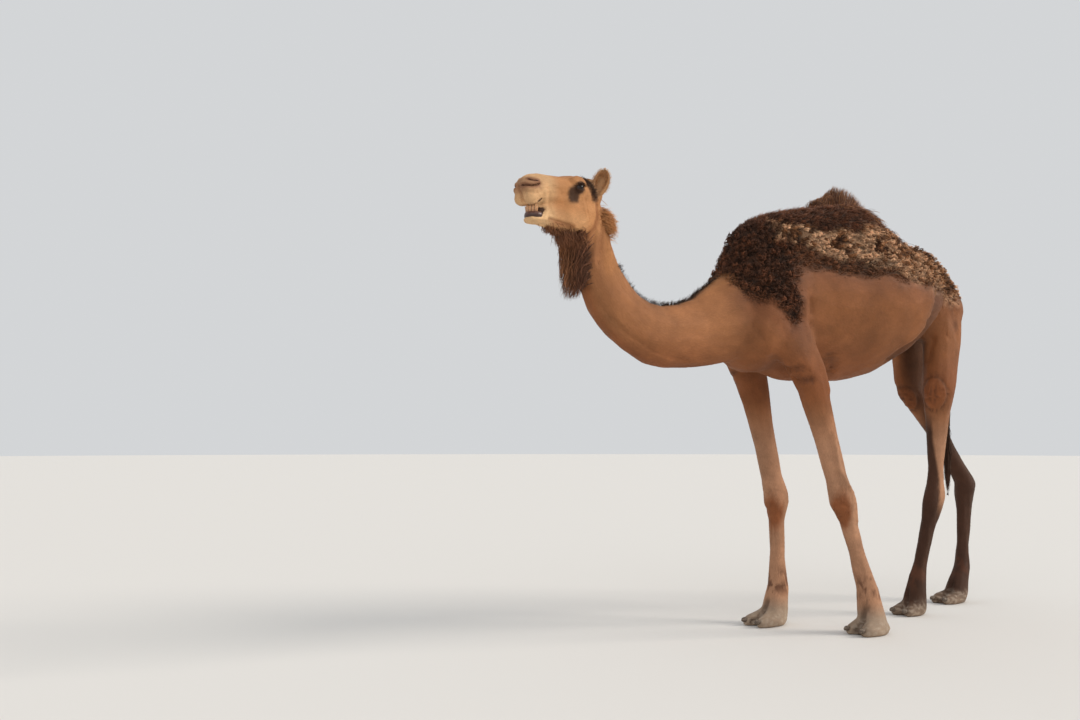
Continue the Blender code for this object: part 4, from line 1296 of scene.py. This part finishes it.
places, normals, spots, draw = roots(7500, on_top, 211)
high = (0.009 + 0.008 * ramp(places[:, 2], 1.78, 1.86)) * draw.uniform(0.6, 1.25, len(places))
way = unit(lie(places, normals) + 0.25 * draw.normal(size=places.shape))
long = draw.uniform(0.016, 0.028, len(places))
line = np.stack(
    (
        places - normals * 0.002,
        places + way * (0.4 * long)[:, None] + normals * (0.75 * high)[:, None],
        places + way * long[:, None] + normals * high[:, None],
    ),
    axis=1,
)
wide = draw.uniform(0.0012, 0.002, len(places))[:, None] * np.array((1.0, 0.9, 0.0))
base = wool_shade(places) * draw.uniform(0.8, 1.5, len(places))[:, None]
hair_piece("wool_fuzz", line, wide, 0.6, base, (0.7, 1.1, 1.4), spots, normals)


# ---------------------------------------------------------------- beard, crests and tail
# Long straight hair: it hangs from the throat, stands on the nape and along the top of the
# neck, sweeps back from the top of the hump, and hangs from the tail.
def surface_spots(node, count, seed):
    """Random places on a solid's surface, with their outward directions."""
    copy = solid_copy(node, 0)
    mesh = copy.data
    mesh.calc_loop_triangles()
    corners = np.array([t.vertices[:] for t in mesh.loop_triangles])
    co = vertex_array(copy)[corners]
    cross = np.cross(co[:, 1] - co[:, 0], co[:, 2] - co[:, 0])
    area = np.linalg.norm(cross, axis=1)
    draw = np.random.default_rng(seed)
    picks = np.minimum(np.searchsorted(np.cumsum(area), draw.random(count) * area.sum()), len(area) - 1)
    part = draw.dirichlet((1, 1, 1), count)[..., None]
    bpy.data.objects.remove(copy)
    return (co[picks] * part).sum(axis=1), unit(cross[picks]), draw


def nearest_skin(places):
    """The nearest skin: its place, its outward direction and its place on the unwrap."""
    feet, outward, spots = (np.empty((len(places), size)) for size in (3, 3, 2))
    for i, place in enumerate(places):
        feet[i], outward[i], face, _ = coat_tree.find_nearest(Vector(place))
        spots[i] = CORNER_UV[face].mean(axis=0)
    return feet, outward, spots


def bent(start, knee, end, stations):
    """Curves from start to end that set out towards the knee."""
    t = np.linspace(0, 1, stations)[None, :, None]
    return start[:, None] * (1 - t) ** 2 + 2 * knee[:, None] * t * (1 - t) + end[:, None] * t**2


def strands(name, start, knee, end, width, colour, seed, nodes=(), stations=7, wave=0.006):
    """Hair that leaves the skin near start, sets out towards the knee and ends at end."""
    draw = np.random.default_rng(seed)
    feet, outward, spots = nearest_skin(start)
    start = feet - outward * 0.002
    line = bent(start, knee, end, stations)
    t = np.linspace(0, 1, stations)
    sway = draw.normal(size=(len(start), 1, 3)) * wave
    sway = sway * np.sin(t * np.pi * draw.uniform(1, 2.5, (len(start), 1)))[..., None]
    line = line + sway * t[None, :, None]
    wide = width * draw.uniform(0.6, 1.3, len(start))[:, None] * (1 - 0.7 * t**2)
    base = np.asarray(colour) * draw.uniform(0.65, 1.35, len(start))[:, None]
    piece = hair_piece(name, line, wide, 0.55, base, np.linspace(0.7, 1.2, stations), spots, outward)
    if nodes:
        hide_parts(*nodes)
    return piece


BEARD = (0.105, 0.042, 0.022)
BEARD_TIP = (0.33, 0.14, 0.058)
tips, _, draw = surface_spots("beard", 2100, 301)
low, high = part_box("beard")
rise = np.minimum(draw.uniform(0.05, 0.17, len(tips)), np.maximum(high.z + 0.015 - tips[:, 2], 0.02))
start = tips + np.c_[draw.uniform(0.02, 0.09, len(tips)), draw.normal(size=len(tips)) * 0.012, rise]
knee = tips * 0.55 + start * 0.45 + np.c_[-0.012 * np.ones(len(tips)), 0 * rise, 0.25 * rise]
# The paler front edge and the one strand in five made brighter are partly the beard's own lighter red-brown
# hair and partly painted highlight.
edge = ramp(tips[:, 0], low.x + 0.02, low.x + 0.11)[:, None]
hue = np.array(BEARD_TIP) * (1 - edge) + np.array(BEARD) * edge
hue = hue * (1 + 1.3 * (draw.random((len(tips), 1)) > 0.8))
foot = fade(tips[:, 2], low.z, low.z + 0.09) * fade(tips[:, 0], high.x - 0.06, high.x)
tips[:, 2] = np.maximum(tips[:, 2] - 0.035 * foot, low.z - 0.006)
strands("beard_hair", start, knee, tips, 0.0016, hue, 302, ["beard"], wave=0.007)

TUFT_TOP = [
    (0.205, 2.004), (0.28, 2.036), (0.352, 2.104), (0.45, 2.104), (0.55, 2.06), (0.63, 2.0), (0.715, 1.94),
]
TUFT_FOOT = [
    (0.19, 1.985), (0.255, 1.985), (0.325, 1.985), (0.39, 1.975), (0.46, 1.95), (0.53, 1.915), (0.61, 1.88),
]


def along_ridge(outline, share):
    """Points of a side outline of the ridge at each share of its length."""
    step = np.linspace(0, 1, len(outline))
    return np.interp(share, step, [p[0] for p in outline]), np.interp(share, step, [p[1] for p in outline])


draw = np.random.default_rng(311)
share = draw.random(2500) ** 0.8
foot_x, foot_z = along_ridge(TUFT_FOOT, share)
top_x, top_z = along_ridge(TUFT_TOP, share)
side = draw.normal(size=len(share)).clip(-2, 2) * 0.022
start = np.c_[foot_x + draw.normal(size=len(share)) * 0.01, side, foot_z - 0.6 * np.abs(side)]
reach = 1 - 0.4 * draw.random(len(share)) ** 2 - 8 * np.abs(side)
reach = reach.clip(0.25, 1)[:, None]
tips = start + (np.c_[top_x, side * 0.6, top_z] - start) * reach
knee = (start + tips) / 2 + np.c_[-0.012 - 0 * share, side * 0.4, 0.014 + 0 * share]
gold = ramp(draw.random(len(share)), 0.3, 1.0) * 0.75
hue = tinted(WOOL_DARK, WOOL_GOLD, gold)
strands("hump_tuft_hair", start, knee, tips, 0.0017, hue, 312, ["hump_tuft"])


def ridge_share(points):
    ridge = np.c_[along_ridge(TUFT_FOOT, np.linspace(0, 1, 7))]
    gap = np.hypot(points[:, 2] - np.interp(points[:, 0], ridge[:, 0], ridge[:, 1]), points[:, 1] * 0.8)
    return fade(gap, 0.05, 0.13) * ramp(points[:, 0], 0.24, 0.34) * fade(points[:, 0], 0.66, 0.8)


places, normals, spots, draw = roots(1300, ridge_share, 313)
t = np.linspace(0, 1, 6)
down = np.tile((0.75, 0.0, -0.75), (len(places), 1))
down[:, 1] = 0.9 * np.sign(places[:, 1]) * ramp(np.abs(places[:, 1]), 0.0, 0.04)
down = unit(square_to(normals, down) + 0.1 * draw.normal(size=places.shape))
long = draw.uniform(0.045, 0.085, len(places))
high = draw.uniform(0.008, 0.018, len(places))
line = grown(places, normals, down, long[:, None] * t)
line = line + normals[:, None] * (high[:, None] * np.sin(np.pi * 0.8 * t))[..., None]
wide = draw.uniform(0.0012, 0.002, len(places))[:, None] * (1 - 0.6 * t**2)
gold = ramp(draw.random(len(places)), 0.35, 1.0) * 0.8
base = tinted(WOOL_DARK, WOOL_GOLD, gold) * draw.uniform(0.8, 1.3, len(places))[:, None]
hair_piece("hump_side_hair", line, wide, 0.6, base, np.linspace(0.7, 1.25, len(t)), spots, normals)

tips, _, draw = surface_spots("tail_tassel", 900, 321)
low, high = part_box("tail_tassel")
tips[:, :2] = tips[:, :2] * 0.65 + 0.35 * np.array((low + high) / 2)[:2]
rise = draw.uniform(0.1, 0.26, len(tips))
start = np.c_[tips[:, 0] * 0.4 + 0.6 * (low.x + high.x) / 2, tips[:, 1] * 0.3, tips[:, 2] + rise]
start[:, 2] = np.maximum(start[:, 2], high.z - 0.06 + 0.1 * draw.random(len(tips)))
knee = (start + tips) / 2 + np.c_[np.zeros(len(tips)), tips[:, 1] * 0.3, np.zeros(len(tips))]
strands("tail_hair", start, knee, tips, 0.0015, DARK, 322, ["tail_tassel"])


def tuft(name, count, path, spread, length, lean, width, colour, seed, wave=0.004, loose=0.22):
    """Hair standing along a path on the skin."""
    draw = np.random.default_rng(seed)
    path = np.asarray(path, float)
    share = draw.random(count) * (len(path) - 1)
    part = share.astype(int).clip(0, len(path) - 2)
    place = path[part] + (path[part + 1] - path[part]) * (share - part)[:, None]
    place = place + draw.normal(size=place.shape) * spread
    feet, outward, _ = nearest_skin(place)
    lean = lean(feet) if callable(lean) else np.array(lean)
    way = unit(lean + loose * draw.normal(size=feet.shape))
    long = length * draw.uniform(0.5, 1.15, count)[:, None]
    knee = feet + unit(outward + 0.5 * way) * long * 0.5
    end = feet + unit(outward * 0.35 + way) * long
    strands(name, feet, knee, end, width, colour, seed + 1, stations=6, wave=wave)


crest = [
    (-1.03, 0, 1.56), (-0.97, 0, 1.49), (-0.85, 0, 1.44), (-0.7, 0, 1.45), (-0.55, 0, 1.51), (-0.45, 0, 1.6),
]
tuft("crest_hair", 850, crest, 0.009, 0.024, (0.55, 0, 0.45), 0.0012, (0.04, 0.02, 0.013), 331)
nape = from_head([(-0.056, 0, -0.016), (-0.074, 0, -0.05), (-0.086, 0, -0.088)])
tuft(
    "nape_hair", 1500, nape, (0.014, 0.034, 0.018), 0.046, (0.82, 0, -0.3), 0.001, (0.66, 0.32, 0.125), 341,
    0.005, 0.24,
)
poll = from_head([(-0.01, 0, 0.09), (-0.04, 0, 0.06), (-0.066, 0, 0.01), (-0.078, 0, -0.04)])
tuft("poll_hair", 500, poll, 0.018, 0.022, (0.75, 0, -0.3), 0.001, NAPE, 343)
under_jaw = from_head([(0.285, 0, -0.125), (0.24, 0, -0.13), (0.2, 0, -0.134)])
tuft("chin_hair", 260, under_jaw, 0.014, 0.026, (0.45, 0, -0.7), 0.0013, (0.21, 0.082, 0.034), 345)
throat = from_head([(0.2, 0, -0.134), (0.14, 0, -0.138), (0.09, 0, -0.13)])
tuft("throat_hair", 520, throat, 0.018, 0.06, (0.3, 0, -0.9), 0.0015, (0.19, 0.075, 0.034), 346, 0.006)
for side, word in zip(SIDES, ("left", "right")):
    mane = on_side([(-0.014, 0.066, -0.026), (-0.026, 0.072, -0.056), (-0.04, 0.072, -0.092)], side)
    tuft(
        "mane_" + word, 700, mane, 0.014, 0.046, (0.82, 0, -0.4), 0.0009, (0.5, 0.23, 0.09), 391 + side,
        0.004, 0.18,
    )
    temple = on_side(
        [(0.104, 0.05, 0.092), (0.08, 0.058, 0.078), (0.06, 0.064, 0.054), (0.046, 0.066, 0.026)], side,
    )
    tuft(
        "temple_hair_" + word, 520, temple, 0.0095, 0.013, (0.6, 0, 0.05), 0.0006, (0.062, 0.03, 0.018),
        351 + side,
    )
    lashes = on_side(
        [(0.172, 0.078, 0.052), (0.158, 0.086, 0.062), (0.142, 0.086, 0.062), (0.13, 0.08, 0.054)], side,
    )
    outward = HEAD_V * side
    tuft(
        "lashes_" + word, 90, lashes, 0.0012, 0.02, outward + 0.3 * HEAD_U - 0.5 * HEAD_W, 0.0005, DARK,
        361 + side, 0.001,
    )
    middle, across, tall, facing = ear_frame(side)
    turn = np.radians(np.linspace(-118, 118, 21))[:, None]
    rim = middle + 0.031 * np.sin(turn) * across + 0.056 * np.cos(turn) * tall + 0.003 * facing
    reach = 0.011 if side > 0 else 0.005
    tuft(
        "ear_fringe_" + word, 420, rim, 0.0045, reach, lambda p: unit(p - middle) + 0.6 * tall, 0.0005, PALE,
        371 + side, 0.002, 0.45,
    )
    cup = middle + 0.6 * (rim - middle) + 0.004 * facing
    tuft(
        "ear_hair_" + word, 260, cup, 0.006, 0.02, 0.8 * tall + 0.5 * facing, 0.0005, CHEEK, 381 + side,
        0.002, 0.45,
    )


# ---------------------------------------------------------------- teeth and gum
# Six worn, brown-stained lower incisors that fan out of a pinkish-brown gum. The mouth hangs
# a little open, so they show in front.
GUM_MIDDLE = (0.346, 0, -0.075)  # in head coordinates
GUM_RADIUS = 0.0285
TOOTH_STEP = 0.4  # radians from one tooth to the next
ENAMEL = (0.68, 0.36, 0.17)
GUM = (0.115, 0.045, 0.03)


def incisor(turn, number):
    """One spade-shaped tooth, wider and thinner at its worn edge."""
    bpy.ops.mesh.primitive_cube_add(size=1)
    tooth = bpy.context.object
    bpy.ops.object.mode_set(mode="EDIT")
    bpy.ops.mesh.subdivide(number_cuts=3)
    bpy.ops.object.mode_set(mode="OBJECT")
    local = vertex_array(tooth)
    high = local[:, 2] + 0.5
    local[:, 0] *= 0.0085 - 0.0045 * high
    local[:, 1] *= (0.0084 + 0.0058 * np.sin(high * 1.6)) * (1 + 0.06 * np.sin(number * 2.3))
    local[:, 0] += 0.0045 * high**2 + 0.0012 * np.sin(number * 3.1)
    wear = 0.0016 * np.sin(number * 1.7 + local[:, 1] * 400) * (high > 0.9)
    local[:, 2] = -0.013 + 0.034 * high * (1 + 0.09 * np.sin(number * 4.1)) + wear
    cosine, sine = math.cos(turn), math.sin(turn)
    u = GUM_MIDDLE[0] + (GUM_RADIUS + local[:, 0]) * cosine - local[:, 1] * sine
    v = (GUM_RADIUS + local[:, 0]) * sine + local[:, 1] * cosine
    set_vertices(tooth, from_head(np.c_[u, v, GUM_MIDDLE[2] + local[:, 2]]))
    rounding = tooth.modifiers.new("rounding", "SUBSURF")
    rounding.levels = 2
    apply_modifiers(tooth)
    return tooth


def gum_ridge():
    """The gum that the teeth stand in, a low curved ridge."""
    bpy.ops.mesh.primitive_torus_add(
        major_radius=GUM_RADIUS, minor_radius=0.009, major_segments=56, minor_segments=16
    )
    gum = bpy.context.object
    local = vertex_array(gum)
    turn = np.arctan2(local[:, 1], local[:, 0])
    swell = 0.0012 * np.cos(turn * 6.28 / TOOTH_STEP)
    local[:, 2] = local[:, 2] * 1.45 + swell * (local[:, 2] > 0)
    set_vertices(gum, from_head(local + np.array(GUM_MIDDLE) - (0, 0, 0.0145)))
    return gum


incisors = [incisor((step - 2.5) * TOOTH_STEP, step) for step in range(6)]
teeth_set = joined([*incisors, gum_ridge()], "incisors_and_gum")
points = vertex_array(teeth_set)
u, v, w = in_head(points).T
level = w - GUM_MIDDLE[2]
stain = waves(points, 0.006, 41)
gap = np.abs((np.arctan2(v, u - GUM_MIDDLE[0]) / TOOTH_STEP) % 1 - 0.5)
tint = painted(
    ENAMEL,
    ((0.3, 0.12, 0.045), ramp(GUM_MIDDLE[2] + 0.008 - w, -0.004, 0.01) * 0.6),
    ((0.2, 0.085, 0.04), np.clip(stain, 0, 1) * 0.45),
    # Dark lines between the teeth: painted shade.
    ((0.1, 0.04, 0.02), 0.8 * ramp(gap, 0.36, 0.48)),
    (GUM, fade(level, -0.004, -0.0005)),
    # Nearly black low on the gum: painted shade inside the mouth.
    ((0.045, 0.016, 0.012), fade(level, -0.018, -0.007)),
)
paint(teeth_set.data, "coat", tint)
tooth_glaze, shader, own, place = new_material("tooth_and_gum", 0.32, 0.5, 0.0)
fleck = noise_of(tooth_glaze, place, 420, 4)
coloured(tooth_glaze, shader, own, scaled(tooth_glaze, fleck, 0.3, 0.7, 0.82, 1.12))
bumped(tooth_glaze, shader, fleck, 0.0006)
dress(teeth_set, tooth_glaze)
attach(teeth_set, "root")
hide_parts("teeth_lower")


# ---------------------------------------------------------------- nails
# Two blunt horn nails at the tips of the toes of each foot, ridged across as they grow and
# worn at the front edge.
NAIL_NODES = [node for node, slot in SLOTS.items() if slot == "horn"]
nails = []
for number, node in enumerate(NAIL_NODES):
    low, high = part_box(node)
    bpy.ops.mesh.primitive_uv_sphere_add(segments=36, ring_count=24, radius=1)
    nail = bpy.context.object
    local = vertex_array(nail)
    x, y, z = local.T
    narrow = 1 - 0.22 * ramp(-x, 0.0, 1.0)
    growth = 1 + 0.035 * np.sin(x * 17 + 0.8 * np.sin(y * 3 + number))
    local = np.c_[x, y * narrow * growth, np.where(z > 0, z * growth, z * 0.75) - 0.1 * x * x]
    half = np.array(high - low) / 2
    set_vertices(nail, np.array((low + high) / 2) + local * half * (1.0, 1.0, 0.95))
    nails.append(nail)
nail_set = joined(nails, "toe_nails")
points = vertex_array(nail_set)
ridges = ramp(waves(points * (1, 0.3, 1), 0.005, 43), 0, 1)
tint = tinted((0.1, 0.07, 0.05), (0.26, 0.2, 0.145), ridges * 0.6)
paint(nail_set.data, "coat", tint)
horn, shader, own, place = new_material("toe_horn", 0.55, 0.35, 0.0)
ridge = noise_of(horn, place, 240, 5, 0.65)
coloured(horn, shader, own, scaled(horn, ridge, 0.3, 0.7, 0.7, 1.25))
bumped(horn, shader, ridge, 0.0012)
dress(nail_set, horn)
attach(nail_set, "root")
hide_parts(*NAIL_NODES)


# ---------------------------------------------------------------- eyes
# Two wet, dark brown eyeballs with a wide pupil and a clear raised cornea.
def eyeball(name, eye, side):
    bpy.ops.mesh.primitive_uv_sphere_add(segments=64, ring_count=48, radius=EYE_RADIUS)
    ball = bpy.context.object
    ball.name = name
    local = vertex_array(ball)
    off_axis = np.linalg.norm(local[:, :2], axis=1)
    cornea = fade(off_axis, 0.006, 0.0125) * (local[:, 2] > 0)
    local *= (1 + 0.055 * cornea)[:, None]
    out, fore = gaze(side)
    across = np.cross(out, fore)
    set_vertices(ball, local @ np.array([fore, across, out]) + eye)
    pupil = ramp(np.hypot(local[:, 0] / 0.0062, local[:, 1] / 0.0036), 0.9, 1.08)[:, None]
    rim = ramp(off_axis, 0.01, 0.0128)[:, None]
    rays = 1 + 0.5 * np.sin(np.arctan2(local[:, 1], local[:, 0]) * 23)
    iris = np.array((0.018, 0.007, 0.003)) * rays[:, None]
    tint = iris * pupil + np.array((0.002, 0.0015, 0.0015)) * (1 - pupil)
    tint = tint * (1 - rim) + np.array((0.03, 0.016, 0.012)) * rim
    paint(ball.data, "tint", tint)
    dress(ball, wet_eye)
    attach(ball, "root")
    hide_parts(name.replace("ball", "eye"))


wet_eye = bpy.data.materials.new("wet_eye")
wet_eye.use_nodes = True
wet_shader = wet_eye.node_tree.nodes["Principled BSDF"]
wet_shader.inputs["Roughness"].default_value = 0.12
wet_shader.inputs["Specular IOR Level"].default_value = 0.25
wet_shader.inputs["Coat Weight"].default_value = 0.15
wet_shader.inputs["Coat Roughness"].default_value = 0.02
own = node_of(wet_eye, "VertexColor", layer_name="tint").outputs["Color"]
wet_eye.node_tree.links.new(own, wet_shader.inputs["Base Color"])
eyeball("ball_left", eyes[0], 1)
eyeball("ball_right", eyes[1], -1)
